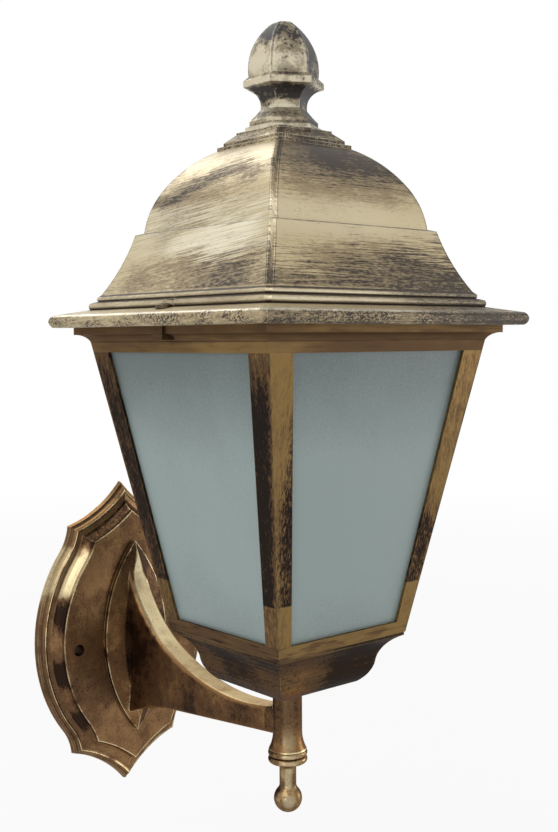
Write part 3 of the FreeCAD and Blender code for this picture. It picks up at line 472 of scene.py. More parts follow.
@dataclass(frozen=True)
class DryBrush:
    """Dark paint with bronze over it, and gilt dragged across with an almost dry brush."""

    ground: Colour
    body: Colour
    gilt: Colour
    shine: Colour
    stroke: Stroke
    cover: float = 0.5
    stroke_gain: float = 1.6
    zone_gain: float = 2.4
    zone_scale: Triple = (20.0, 20.0, 34.0)
    grain_gain: float = 0.8
    grain_scale: Triple = (1000.0, 1000.0, 1000.0)
    veil: float = 0.4
    calm: float = 1.0
    stir: float = 2.0
    pepper: float = 0.5
    pepper_scale: Triple = (330.0, 330.0, 330.0)
    pepper_draw: float = 0.35
    edge_gain: float = 0.7
    edge_reach: float = 0.8 * MM
    hollow_gain: float = 0.9
    hollow_reach: float = 5 * MM
    top_light_gain: float = 0.0
    metallic: float = 0.7
    base_metal: float = 0.4
    rough_gilt: float = 0.3
    rough_ground: float = 0.5
    relief: float = 0.12 * MM
    rim_tint: Colour = Colour(255, 255, 255)
    gilt_from: tuple[float, float] = (0.38, 0.8)
    bare_from: tuple[float, float] = (0.34, 0.0)
    fleck_from: tuple[float, float] = (0.48, 0.6)
    pit_from: tuple[float, float] = (0.22, 0.62)
    top_light_from: tuple[float, float] = (0.25, 0.85)

    def level(self, board: Board, touch: Touch, strokes: Tone, grain: Tone, zones: Tone) -> Tone:
        """How much gilt the brush left: its cover, moved by broad zones, strokes and grain.

        In a calm finish the strokes show less where the piece is bright, and where a piece
        is still they don't show.

        Args:
            board: The material to paint.
            touch: Where this piece differs.
            strokes: Noise drawn out along the brush.
            grain: Fine noise.
            zones: Broad noise.

        Returns:
            High for gilt, middling for bronze, low for the ground.
        """
        loose = 1 - touch.still
        level = (strokes - 0.5) * (self.stroke_gain * loose)
        level = level + (grain - 0.5) * (self.grain_gain * loose)
        if self.calm < 1:
            level = level * (touch.dark * self.stir + self.calm).least(1.0)
        level = level + (zones - 0.5) * self.zone_gain + self.cover + touch.lift - touch.dark
        # Faces turned up get more gilt: painted light from above.
        if self.top_light_gain:
            level = level + board.facing()[2].ramp(*self.top_light_from) * self.top_light_gain
        return level

    def paint(self, board: Board, touch: Touch = Touch()) -> bpy.types.Material:
        """Mix the finish on a board.

        Gilt, bronze and ground follow the level of the gilt. Pepper is fine flecks of
        ground, thicker where the piece is left dark, and the piece's dark, which carries
        painted shade on many pieces, also veils the colour towards the ground. Recesses keep
        the ground. Edges are rubbed to the shine, except in recesses and where the piece is
        still, and painted highlights bring the paint up to the same shine.

        Args:
            board: The material to paint.
            touch: Where this piece differs.

        Returns:
            The finished material.
        """
        strokes = board.noise(self.stroke.value, 5.0, 0.0, touch.flow)
        zones = board.noise(self.zone_scale, 3.0, 3.7)
        grain = board.noise(self.grain_scale, 3.0, 1.9, touch.flow)
        level = self.level(board, touch, strokes, grain, zones)
        gilt = level.ramp(*self.gilt_from)
        dark_paint_and_shadow = level.ramp(*self.bare_from)
        flecks = board.noise(self.pepper_scale, 4.0, 8.2, touch.flow)
        flecks = flecks - zones * 0.25 + self.pepper_draw * touch.dark
        flecks = flecks.ramp(*self.fleck_from) * self.pepper
        pit = board.hollow(self.hollow_reach).ramp(*self.pit_from)
        rub_and_highlight = board.edge(self.edge_reach) * (1 - pit.ramp(0.0, 0.5)) * strokes.ramp(0.3, 0.62)
        rub_and_highlight = rub_and_highlight * (self.edge_gain * (1 - touch.still))
        # Rubbed edges and painted highlights both bring the colour up to the shine.
        total_rub_and_highlight = (rub_and_highlight + touch.painted_highlight * (1 - flecks)).least(1.0)
        ground = self.ground.linear()
        colour = board.blend(gilt, self.body.linear(), self.gilt.linear())
        colour = board.blend(dark_paint_and_shadow, colour, ground)
        # The piece's dark, painted shade among it, veils the colour towards the ground.
        colour = board.blend((flecks + touch.dark * self.veil).least(1.0), colour, ground)
        colour = board.blend(pit * self.hollow_gain, colour, ground)
        colour = board.blend(total_rub_and_highlight, colour, self.shine.linear())
        covered = (gilt * (1 - flecks) + total_rub_and_highlight).least(1.0)
        smoother = self.rough_gilt - self.rough_ground
        return board.surface({
            "Base Color": colour,
            "Metallic": covered * (self.metallic - self.base_metal) + self.base_metal,
            "Roughness": self.rough_ground + covered * smoother + grain * 0.06,
            "Specular Tint": self.rim_tint.linear(),
            "Normal": board.bump(strokes * 0.6 + grain * 0.4, self.relief, 0.6),
        })


CHAMPAGNE = DryBrush(
    Colour(58, 48, 38), Colour(152, 134, 102), Colour(195, 179, 141), Colour(240, 233, 210),
    Stroke.LEVEL, cover=0.59, stroke_gain=1.0, zone_gain=1.1,
    grain_gain=1.8, grain_scale=(330.0, 330.0, 1900.0), veil=0.62, calm=0.38,
    pepper=0.4, pepper_scale=(420.0, 420.0, 1700.0), pepper_draw=0.34, rough_gilt=0.28,
)
ACORN = DryBrush(
    Colour(46, 42, 40), Colour(144, 131, 107), Colour(204, 192, 164), Colour(240, 233, 212),
    Stroke.DABBED, cover=0.6, zone_gain=1.6, zone_scale=(75.0, 75.0, 75.0),
    pepper=0.85, pepper_scale=(620.0, 620.0, 620.0),
    edge_gain=0.45, edge_reach=0.9 * MM,
)
ANTIQUE = DryBrush(
    Colour(36, 23, 17), Colour(92, 65, 42), Colour(130, 98, 62), Colour(230, 212, 168),
    Stroke.DABBED, cover=0.42, stroke_gain=0.9, zone_gain=1.9, zone_scale=(32.0, 32.0, 26.0),
    grain_gain=0.7, pepper=0.5, pepper_scale=(520.0, 520.0, 520.0),
    edge_gain=1.25, edge_reach=1.3 * MM, top_light_gain=0.45, base_metal=0.7, metallic=0.8,
    rough_gilt=0.24, rough_ground=0.34, relief=0.06 * MM, rim_tint=Colour(205, 180, 155),
)
STILE = DryBrush(
    Colour(27, 22, 20), Colour(93, 71, 50), Colour(130, 105, 64), Colour(164, 140, 96),
    Stroke.UPRIGHT, cover=0.56, stroke_gain=1.1, zone_gain=0.8,
    grain_gain=1.2, grain_scale=(1700.0, 1700.0, 360.0), calm=0.6, stir=1.4,
    pepper=0.4, pepper_scale=(900.0, 900.0, 420.0), pepper_draw=0.1, edge_gain=0.3,
    hollow_gain=0.45, base_metal=0.7, rim_tint=Colour(190, 170, 150),
)
CAST = replace(
    ANTIQUE, body=Colour(98, 71, 49), gilt=Colour(136, 104, 70), cover=0.56, zone_gain=1.1,
    pepper=0.6, pepper_scale=(760.0, 760.0, 760.0),
)
BRUSHED = replace(
    ANTIQUE, ground=Colour(42, 32, 24), body=Colour(92, 72, 50), stroke=Stroke.LEVEL,
    zone_gain=1.3, edge_gain=0.12, top_light_gain=0.0, rough_gilt=0.3, rough_ground=0.42,
    rim_tint=Colour(135, 110, 88),
)
GILDED = DryBrush(
    Colour(44, 31, 22), Colour(108, 84, 56), Colour(160, 135, 96), Colour(240, 225, 188),
    Stroke.DABBED, cover=0.5, zone_gain=1.2, pepper=0.25, base_metal=0.7, metallic=0.85,
    rough_gilt=0.18, rough_ground=0.28, relief=0.06 * MM, rim_tint=Colour(205, 180, 155),
)


@dataclass(frozen=True)
class PlainFinish:
    """A finish of one colour with a fine grain, for the fittings."""

    name: str
    colour: Colour
    shade: Colour
    metallic: float
    roughness: float
    grain: float = 600.0
    cloud: float = 60.0
    relief: float = 0.03 * MM
    coat: float = 0.0

    def paint(self) -> bpy.types.Material:
        """Mix the finish.

        Returns:
            The finished material.
        """
        board = Board(self.name)
        grain = board.noise((self.grain,) * 3)
        cloud = board.noise((self.cloud,) * 3, 2.0).ramp(0.3, 0.8)
        return board.surface({
            "Base Color": board.blend(cloud, self.colour.linear(), self.shade.linear()),
            "Metallic": self.metallic,
            "Roughness": self.roughness + (grain - 0.5) * 0.2,
            "Coat Weight": self.coat,
            "Normal": board.bump(grain, self.relief, 0.5),
        })


STEEL = PlainFinish("zinc_steel", Colour(190, 188, 182), Colour(160, 157, 150), 0.9, 0.36)
BRASS = PlainFinish("brass", Colour(208, 172, 98), Colour(176, 138, 70), 0.9, 0.34)
PORCELAIN = PlainFinish(
    "porcelain", Colour(236, 233, 224), Colour(226, 222, 210), 0.0, 0.22, grain=200.0, coat=0.5
)
PLASTIC = PlainFinish(
    "terminal_plastic", Colour(226, 223, 212), Colour(214, 210, 198), 0.0, 0.5, grain=900.0
)
DARK_STEEL = PlainFinish("blackened_screw", Colour(92, 78, 58), Colour(52, 44, 36), 0.8, 0.4)


def dress(frame: Mapping[str, Any], names: Iterable[str], material: bpy.types.Material) -> None:
    """Give a material to every slot of some solids.

    Args:
        frame: The loaded frame.
        names: The nodes to dress.
        material: What they wear.
    """
    for name in names:
        for slot in frame["nodes"][name].material_slots:
            slot.material = material
        LOG.info("dressed %s in %s", name, material.name)


@dataclass(frozen=True)
class FourSides:
    """Where a point of a four-sided piece lies, as tones measured from the lantern's axis.

    Board is the piece's material. Run and reach are the distances along X and Y, across and
    along the same without sign. Side is 1 on the left and right faces, front is 1 on the
    front and back ones.
    """

    board: Board
    run: Tone
    reach: Tone
    up: Tone
    across: Tone
    along: Tone
    side: Tone
    front: Tone


@dataclass
class Lantern:
    """The places that several pieces share, read from the frame."""

    axis: Vector = field(init=False)
    cage_low: float = field(init=False)
    roof_low: float = field(init=False)

    def __post_init__(self) -> None:
        """Read the lantern's axis and its storeys."""
        cage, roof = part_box("cage"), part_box("roof")
        self.axis = Vector((0.0, (roof[0].y + roof[1].y) / 2, 0.0))
        self.cage_low = cage[0].z
        self.roof_low = roof[0].z

    def four_sides(self, board: Board, level: float) -> FourSides:
        """Survey a four-sided piece.

        Args:
            board: The piece's material.
            level: The height that reads as zero.

        Returns:
            Where a point of the piece lies.
        """
        run, reach, up = board.axes((0.0, self.axis.y, level))
        across, along = abs(run), abs(reach)
        side = (across - along).ramp(-MM, MM)
        return FourSides(board, run, reach, up, across, along, side, 1 - side)


@dataclass(frozen=True)
class RoofBrush:
    """How the brush ran over the roof.

    Slope is 1 above the mouldings of the base. Tilted is the height along the strokes, and
    flow is the place at which they are read. Drift moves a zone's edge broadly, ragged moves
    it in streaks as well.
    """

    slope: Tone
    tilted: Tone
    flow: bpy.types.NodeSocket
    drift: Tone
    ragged: Tone


@dataclass
class Roof:
    """Stepped roof in pale champagne, brushed level.

    Heights are measured from the eave's underside, other places from the lantern's axis.
    """

    lantern: Lantern
    eave_edge: float = 5.4 * MM
    slope_low: float = 14.3 * MM
    plinth: float = 76.2 * MM
    hip_border: float = 1.84 * MM
    hip_reach: float = 22.0 * MM
    stroke_tilt: float = 0.1
    drift_swing: float = 18.0 * MM
    ragged_swing: float = 60.0 * MM
    # Bands of the base: a painted highlight on the brow, dark grooves, painted highlights on the
    # crests, and a dark groove at the break.
    brow: Span = Span(4.7, 5.7, 0.3)
    grooves: tuple[Span, ...] = (
        Span(7.5, 8.2, 0.25), Span(10.7, 11.4, 0.25), Span(13.5, 14.2, 0.25)
    )
    crests: tuple[Span, ...] = (Span(9.0, 10.1, 0.3), Span(12.1, 13.0, 0.3))
    break_groove: Span = Span(40.3, 41.1, 0.2)
    # Where light and shade are painted on the left and right faces.
    shade_band: Span = Span(57.0, 63.0, 3.0)
    weak_shade_band: Span = Span(46.0, 52.0, 3.0)
    weak_shade_band_back: Ease = Ease(-44.0, -32.0)
    patch: Span = Span(28.5, 36.5, 2.5)
    patch_width: Span = Span(-40.0, 16.0, 8.0)
    side_foot: Ease = Ease(31.0, 24.0)
    side_foot_ahead: Ease = Ease(5.0, -30.0)
    belly: Span = Span(40.4, 51.0, 3.0)
    shoulder: Span = Span(29.0, 40.4, 3.0)
    dome_highlight: Span = Span(66.0, 74.5, 3.5)
    dome_highlight_ahead: Ease = Ease(34.0, -14.0)
    # Where shade and a highlight band are painted on the front and back faces.
    front_foot: Ease = Ease(33.0, 16.0)
    front_foot_left: Ease = Ease(-15.0, -40.0)
    front_shade_band: Span = Span(20.0, 30.0, 4.0)
    front_shade_band_right: Ease = Ease(0.0, 24.0)
    front_top: Ease = Ease(50.0, 72.0)
    band: Span = Span(36.0, 50.0, 5.0)
    band_right: Ease = Ease(0.0, 40.0)
    base_right: Ease = Ease(-10.0, 25.0)

    def dress(self, frame: Mapping[str, Any]) -> None:
        """Paint the roof in the loaded frame."""
        board = Board("roof_paint")
        dress(frame, ["roof"], CHAMPAGNE.paint(board, self.touch(board)))

    def touch(self, board: Board) -> Touch:
        """Where the brush pressed on the roof and passed over it, and where light and shade are
        painted.

        Args:
            board: The roof's material.

        Returns:
            The treatments of the roof's parts together.
        """
        at = self.lantern.four_sides(board, self.lantern.roof_low)
        brush = self.brush(at)
        touch = self.base(at) + self.hips(at, brush)
        touch = touch + self.sides(at, brush) + self.fronts(at, brush)
        return replace(touch, flow=brush.flow)

    def brush(self, at: FourSides) -> RoofBrush:
        """How the brush ran: level, and climbing towards the front on the two sides.

        Args:
            at: Where a point lies.

        Returns:
            The strokes' course and the unevenness of the zones' edges.
        """
        slope = at.up.ramp(self.slope_low, self.slope_low + MM)
        tilted = at.up + at.reach * at.side * self.stroke_tilt
        flow = at.board.join(at.run, at.reach, tilted)
        drift = (at.board.noise((26.0, 26.0, 40.0), 2.0, 6.1) - 0.5) * self.drift_swing
        streaks = at.board.noise((60.0, 60.0, 2200.0), 4.0, 2.8, flow) - 0.5
        return RoofBrush(slope, tilted, flow, drift, streaks * self.ragged_swing + drift)

    def base(self, at: FourSides) -> Touch:
        """The base and the plinth.

        The eave's edge is speckled under a painted highlight along its brow, the grooves are
        dark and the crests between them carry painted highlights. On the front and back the
        base's right end is left dark. The plinth's steps are speckled too.

        Args:
            at: Where a point lies.

        Returns:
            Their treatment.
        """
        up = at.up
        eave = up.ramp(self.eave_edge + 0.4 * MM, self.eave_edge)
        grooves = up.within(*self.grooves).most(up.within(self.break_groove) * 0.6)
        right = at.front * at.run.past(self.base_right)
        right = right * up.ramp(self.slope_low + MM, self.slope_low)
        speckle = at.board.noise((1200.0, 1200.0, 1200.0), 4.0, 1.3).ramp(0.42, 0.62)
        plinth = up.ramp(self.plinth - 0.3 * MM, self.plinth + 0.3 * MM)
        plinth = plinth * (speckle * 0.35 + at.front * 0.24 + 0.1)
        speckle = speckle * at.board.noise((70.0, 70.0, 240.0), 3.0, 7.7).ramp(0.34, 0.66)
        dark = eave * (speckle * 0.8 + at.front * 0.2) + grooves * 0.9 + plinth
        # Painted highlights along the eave's brow and on the crests, stronger on the front and
        # back.
        painted_highlight = up.within(self.brow) * 0.5
        painted_highlight = painted_highlight + up.within(*self.crests) * (at.front * 0.25 + 0.2)
        return Touch(
            dark=dark + right * (0.36 - eave * 0.14),
            painted_highlight=painted_highlight * (1 - right * 0.75),
        )

    def hips(self, at: FourSides, brush: RoofBrush) -> Touch:
        """The hips, where the two lateral distances are equal.

        A darker strip follows each, with a dark line on both of its sides, and painted light
        brightens the faces towards it, more on the left and right faces.

        Args:
            at: Where a point lies.
            brush: How the brush ran.

        Returns:
            Their treatment.
        """
        beside = abs(at.across - at.along)
        strip = beside.ramp(self.hip_border, self.hip_border * 0.85) * brush.slope
        # Painted light: the faces brighten towards the hip.
        near = beside.ramp(self.hip_reach, self.hip_border) * brush.slope * (1 - strip)
        line = beside.between(self.hip_border * 1.05, self.hip_border * 1.4, 0.1 * MM)
        return Touch(
            lift=near * (at.side * 0.16 + 0.1),
            dark=line * brush.slope * 0.28 + strip * 0.22,
        )

    def sides(self, at: FourSides, brush: RoofBrush) -> Touch:
        """The left and right faces.

        A painted highlight lies at the dome's top, a band of painted shade under it and a weak
        one further down, and the dome's belly and the slope's shoulder carry painted highlights
        in streaks. A painted highlight patch lies across the slope above a foot in painted shade.

        Args:
            at: Where a point lies.
            brush: How the brush ran.

        Returns:
            Their treatment.
        """
        lean = brush.tilted + brush.ragged
        swath = brush.tilted + brush.drift + brush.ragged * 0.25
        weak = lean.within(self.weak_shade_band) * at.reach.past(self.weak_shade_band_back)
        shade_band = at.side * (swath.within(self.shade_band) + weak * 0.4)
        streak = at.board.noise((30.0, 30.0, 1500.0), 5.0, 9.3, brush.flow).ramp(0.38, 0.6)
        belly = at.side * at.up.within(self.belly)
        shoulder = at.side * at.up.within(self.shoulder)
        foot = at.side * brush.slope * lean.past(self.side_foot)
        foot = foot * (at.reach.past(self.side_foot_ahead) * 0.5 + 0.5)
        patch = at.side * swath.within(self.patch) * at.reach.within(self.patch_width)
        dome_highlight = at.side * (at.up + brush.ragged).within(self.dome_highlight)
        dome_highlight = dome_highlight * at.up.ramp(self.plinth, self.plinth - MM)
        dome_highlight = dome_highlight * (at.reach.past(self.dome_highlight_ahead) * 0.7 + 0.3)
        # Painted highlights, painted shade bands and painted shade at the foot of the left and
        # right faces.
        return Touch(
            lift=patch * 0.45 + belly * 0.08 + shoulder * 0.06,
            dark=shade_band * 0.4 + foot * 0.34,
            painted_highlight=dome_highlight * 0.1 + patch * 0.5 + (belly * 0.55 + shoulder * 0.32) * streak,
            still=patch * 0.6 + dome_highlight * 0.5,
        )

    def fronts(self, at: FourSides, brush: RoofBrush) -> Touch:
        """The front and back faces.

        Painted shade darkens the dome to its top and the slope to its foot, most at its ends, and
        crosses the slope's right half in a band; a painted highlight band that weakens to the
        right lies on both sides of the break.

        Args:
            at: Where a point lies.
            brush: How the brush ran.

        Returns:
            Their treatment.
        """
        high = at.up + brush.ragged
        foot = at.run * 5 + at.run.past(self.front_foot_left) * 0.3 + 0.74
        foot = foot * at.front * brush.slope * high.past(self.front_foot)
        shade_band = at.front * high.within(self.front_shade_band) * at.run.past(self.front_shade_band_right)
        top = at.front * (at.up + brush.drift + brush.ragged * 0.4).past(self.front_top)
        top = top * at.up.ramp(self.plinth + 0.3 * MM, self.plinth - 0.3 * MM)
        band = at.front * at.up.within(self.band) * (1 - at.run.past(self.band_right) * 0.5)
        # Painted shade at the slope's foot, across its right half and at the dome's top, and a
        # painted highlight band.
        return Touch(
            lift=band * 0.25,
            dark=foot * 0.5 + shade_band * 0.25 + top * 0.54,
            painted_highlight=band * 0.18,
            still=top * 0.45 + band * 0.3,
        )


@dataclass
class TopFinial:
    """Six-sided acorn finial on the roof.

    Its six ridges stand at 30 degrees and each 60 from there, in three planes through the
    axis. Heights are measured from the finial's foot.
    """

    lantern: Lantern
    ridge_turn: float = math.radians(30)
    acorn: Ease = Ease(23.0, 24.0)
    acorn_foot: Span = Span(21.6, 23.2, 0.4)
    tip: Ease = Ease(29.0, 42.0)
    belly: Span = Span(25.0, 31.0, 2.0)
    brim: Span = Span(18.9, 21.2, 0.4)
    under_brim: Span = Span(13.0, 18.4, 1.2)
    neck: Span = Span(8.2, 10.8, 0.8)
    under_neck: Span = Span(5.0, 8.6, 0.8)
    groove: Span = Span(2.4, 3.0, 0.3)
    base: Ease = Ease(1.9, 1.2)
    crease: Ease = Ease(0.45, 0.25)
    beside: Span = Span(0.5, 1.3, 0.2)

    def dress(self, frame: Mapping[str, Any]) -> None:
        """Paint the finial.

        It is dark at its tip and at the acorn's foot, with painted shade under the brim, under
        the neck and on the facets turned off the light, and painted highlights on the brim, the
        belly, the neck and the base. A dark line with a painted highlight on both sides follows
        each ridge.

        Args:
            frame: The loaded frame.
        """
        board = Board("finial_paint")
        run, reach, up = board.axes((0.0, self.lantern.axis.y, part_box("top_finial")[0].z))
        sine, cosine = math.sin(self.ridge_turn), math.cos(self.ridge_turn)
        ridge = abs(run).least(abs(run * sine - reach * cosine))
        ridge = ridge.least(abs(run * sine + reach * cosine))
        acorn = up.past(self.acorn)
        # Painted shade on the facets turned off the light.
        lee = abs(board.toward((sine, -cosine, 0.0))).ramp(0.5, 0.8)
        brim = up.within(self.brim)
        belly = up.within(self.belly) * (1 - lee)
        neck = up.within(self.neck) * (1 - lee)
        # Painted shade under the brim and the neck; the tip, the groove, the ridge lines and the
        # acorn's foot are dark.
        dark = up.past(self.tip) * 0.42 + up.within(self.under_brim) * 0.5
        dark = dark + up.within(self.under_neck) * 0.26 + up.within(self.groove) * 0.3
        dark = dark + ridge.past(self.crease) * acorn * 0.3
        dark = dark + up.within(self.acorn_foot) * 0.3 + lee * 0.42
        # Painted highlights on the brim, beside the ridges, on the base, the neck and the belly.
        painted_highlight = brim * 0.15 + ridge.within(self.beside) * acorn * 0.2
        painted_highlight = painted_highlight + up.past(self.base) * 0.25 + neck * 0.3 + belly * 0.2
        touch = Touch(lift=brim * 0.1 + belly * 0.16, dark=dark, painted_highlight=painted_highlight)
        dress(frame, ["top_finial"], ACORN.paint(board, touch))


@dataclass
class Cage:
    """Tapered frame with painted shadow on the stiles beside the glass, and gilt corners and foot.

    Heights are measured from the cage's foot.
    """

    lantern: Lantern
    foot_half: float = 37.3 * MM
    slope: float = 0.18808
    corner_strip: float = 2.3 * MM
    stile_foot: float = 7.3 * MM
    stile_growth: float = 0.0369
    break_up: float = 23.3 * MM
    crown_low: float = 129.2 * MM
    crown_edge: float = 132.4 * MM
    crown_half: float = 67.0 * MM
    window_low: float = 5.5 * MM
    window_top: float = 124.7 * MM
    wedge_foot: float = 46.0 * MM
    wedge_head: float = 100.0 * MM
    right_drop: float = 42.0 * MM
    wedge_swing: float = 11.0 * MM
    wedge_edge: Ease = Ease(-2.0, 3.0)
    side_swing: float = 6.0 * MM
    side_edge: Ease = Ease(0.6, 2.6)
    head_swing: float = 60.0 * MM
    side_head: Ease = Ease(127.0, 98.0)
    corner_line: Ease = Ease(0.55, 0.2)
    rail_right: Ease = Ease(-50.0, 0.0)
    rail_pull: float = 0.95
    rail_stretch: float = 14.0

    def dress(self, frame: Mapping[str, Any]) -> None:
        """Paint the cage in the loaded frame."""
        board = Board("cage_paint")
        dress(frame, ["cage"], STILE.paint(board, self.touch(board)))

    def touch(self, board: Board) -> Touch:
        """Where the frame is left dark, and which way the strokes ran.

        Strokes run up the stiles and along the rails, which are smudged. Painted shade darkens
        the sides up to the head, painted light lifts the front and back a little, and the foot
        is lighter.

        Args:
            board: The cage's material.

        Returns:
            The cage's own lift, dark, still and flow.
        """
        at = self.lantern.four_sides(board, self.lantern.cage_low)
        up = at.up
        head = up.ramp(self.window_top - 0.1 * MM, self.window_top + 0.1 * MM)
        rails = head + up.ramp(self.window_low + 0.1 * MM, self.window_low)
        foot = up.ramp(self.break_up + 0.3 * MM, self.break_up - 0.3 * MM)
        smudge = board.noise((60.0, 60.0, 420.0), 4.0, 2.4).ramp(0.48, 0.66)
        smudge = rails * smudge * 0.26 * (1 - head * 0.7)
        dark = self.stiles(at, head) + self.crown(at, head)
        pull = 1 - rails * self.rail_pull
        # Painted shade darkens the sides up to the head; painted light lifts the front and back.
        return Touch(
            lift=foot * (at.side * 0.1 + 0.1) + at.front * 0.06,
            dark=dark + at.side * (0.28 - head * 0.26) + smudge,
            still=(rails * 0.4).most(head * 0.7),
            flow=board.join(at.run * pull, at.reach * pull, up * (rails * self.rail_stretch + 1)),
        )

    def stiles(self, at: FourSides, head: Tone) -> Tone:
        """How much painted shadow darkens the stiles.

        A point's distance from the corner is the half width at its height less the
        smaller of its two lateral distances. The dark is a grained painted shadow. On the front
        and back it starts as a wedge beside the glass and fills the stile up to the corner strip
        further down. On the sides it spans the stile and deepens from the head down. Both end at
        a sharp break above the foot.

        Args:
            at: Where a point lies.
            head: 1 above the window.

        Returns:
            0 for gilt, towards 1 for painted shadow and the dark corner line.
        """
        up = at.up
        inward = up * self.slope + self.foot_half - at.across.least(at.along)
        fine = at.board.noise((1500.0, 1500.0, 420.0), 4.0, 5.1) - 0.5
        right = at.front * at.run.ramp(0.0, MM)
        start = self.wedge_head - right * self.right_drop
        stile = up * self.stile_growth + self.stile_foot
        strip = (1 - right) * self.corner_strip
        wedge = (stile - strip) * up.ramp(self.wedge_foot, start) + strip
        narrow = at.front * (inward + fine * self.wedge_swing - wedge).past(self.wedge_edge)
        narrow = narrow * up.ramp(start + 12 * MM, start - 8 * MM)
        wide = at.side * (inward + fine * self.side_swing).past(self.side_edge)
        wide = wide * (up + fine * self.head_swing).past(self.side_head)
        # Painted shadow on the stiles beside the glass, grained.
        dark_paint_and_shadow = (narrow + wide) * inward.ramp(stile + 0.9 * MM, stile) * (1 - head)
        dark_paint_and_shadow = dark_paint_and_shadow * up.ramp(self.break_up - 0.3 * MM, self.break_up + 0.3 * MM)
        far = at.side * at.reach.ramp(0.0, MM) * 0.55
        corner = inward.past(self.corner_line) * (1 - head) * 0.3
        return dark_paint_and_shadow * (fine * 2.4 + 0.56) * (1 - far) + corner

    def crown(self, at: FourSides, head: Tone) -> Tone:
        """How dark the crown is: its cove, the crease under it, its lip and its lugs.

        The head rail below it darkens to the right on the front and back.

        Args:
            at: Where a point lies.
            head: 1 above the window.

        Returns:
            0 for gilt, towards 1 for dark.
        """
        up = at.up
        cove = up.between(self.crown_low + 0.2 * MM, self.crown_edge, 0.5 * MM)
        crease = up.between(self.crown_low - 0.2 * MM, self.crown_low + 0.3 * MM, 0.2 * MM)
        lip = up.ramp(self.crown_edge - 0.5 * MM, self.crown_edge)
        lug = at.across.ramp(self.crown_half + 0.1 * MM, self.crown_half + 0.4 * MM)
        rail = head * at.front * up.ramp(self.crown_low, self.crown_low - 0.4 * MM)
        rail = rail * (at.run.past(self.rail_right) * 0.18 + 0.08)
        return cove * (at.front * 0.14 + 0.08) + crease * 0.3 + lip * 0.1 + lug * 0.12 + rail


@dataclass
class Panes:
    """Four frosted panes: painted shadow at the top, darker foot, painted light front and back."""

    lantern: Lantern
    light: Colour = Colour(168, 185, 182)
    deep: Colour = Colour(112, 126, 125)
    head: Ease = Ease(68.9, 130.0)
    foot: Ease = Ease(45.5, 0.0)

    def dress(self, frame: Mapping[str, Any]) -> None:
        """Dress the panes.

        Args:
            frame: The loaded frame.
        """
        board = Board("frosted_glass")
        at = self.lantern.four_sides(board, self.lantern.cage_low)
        frost = board.noise((1400.0, 1400.0, 1400.0))
        cloud = board.noise((28.0, 28.0, 20.0), 3.0, 2.2)
        # Painted shadow of the roof towards the top, darker towards the bottom, painted light on
        # the front and back panes, with random cloud and frost.
        shade = at.up.past(self.head) * 1.05 + at.up.past(self.foot) * 0.3 - at.front * 0.12
        shade = shade + (cloud - 0.5) * 0.5 + (frost - 0.5) * 0.8
        material = board.surface({
            "Base Color": board.blend(shade, self.light.linear(), self.deep.linear()),
            "Roughness": 0.5 + (frost - 0.5) * 0.25,
            "IOR": 1.5,
            "Transmission Weight": 0.25,
            "Coat Weight": 0.15,
            "Coat Roughness": 0.3,
            "Normal": board.bump(frost, 0.05 * MM, 0.5),
        })
        dress(frame, [f"pane_{side}" for side in ("front", "back", "left", "right")], material)


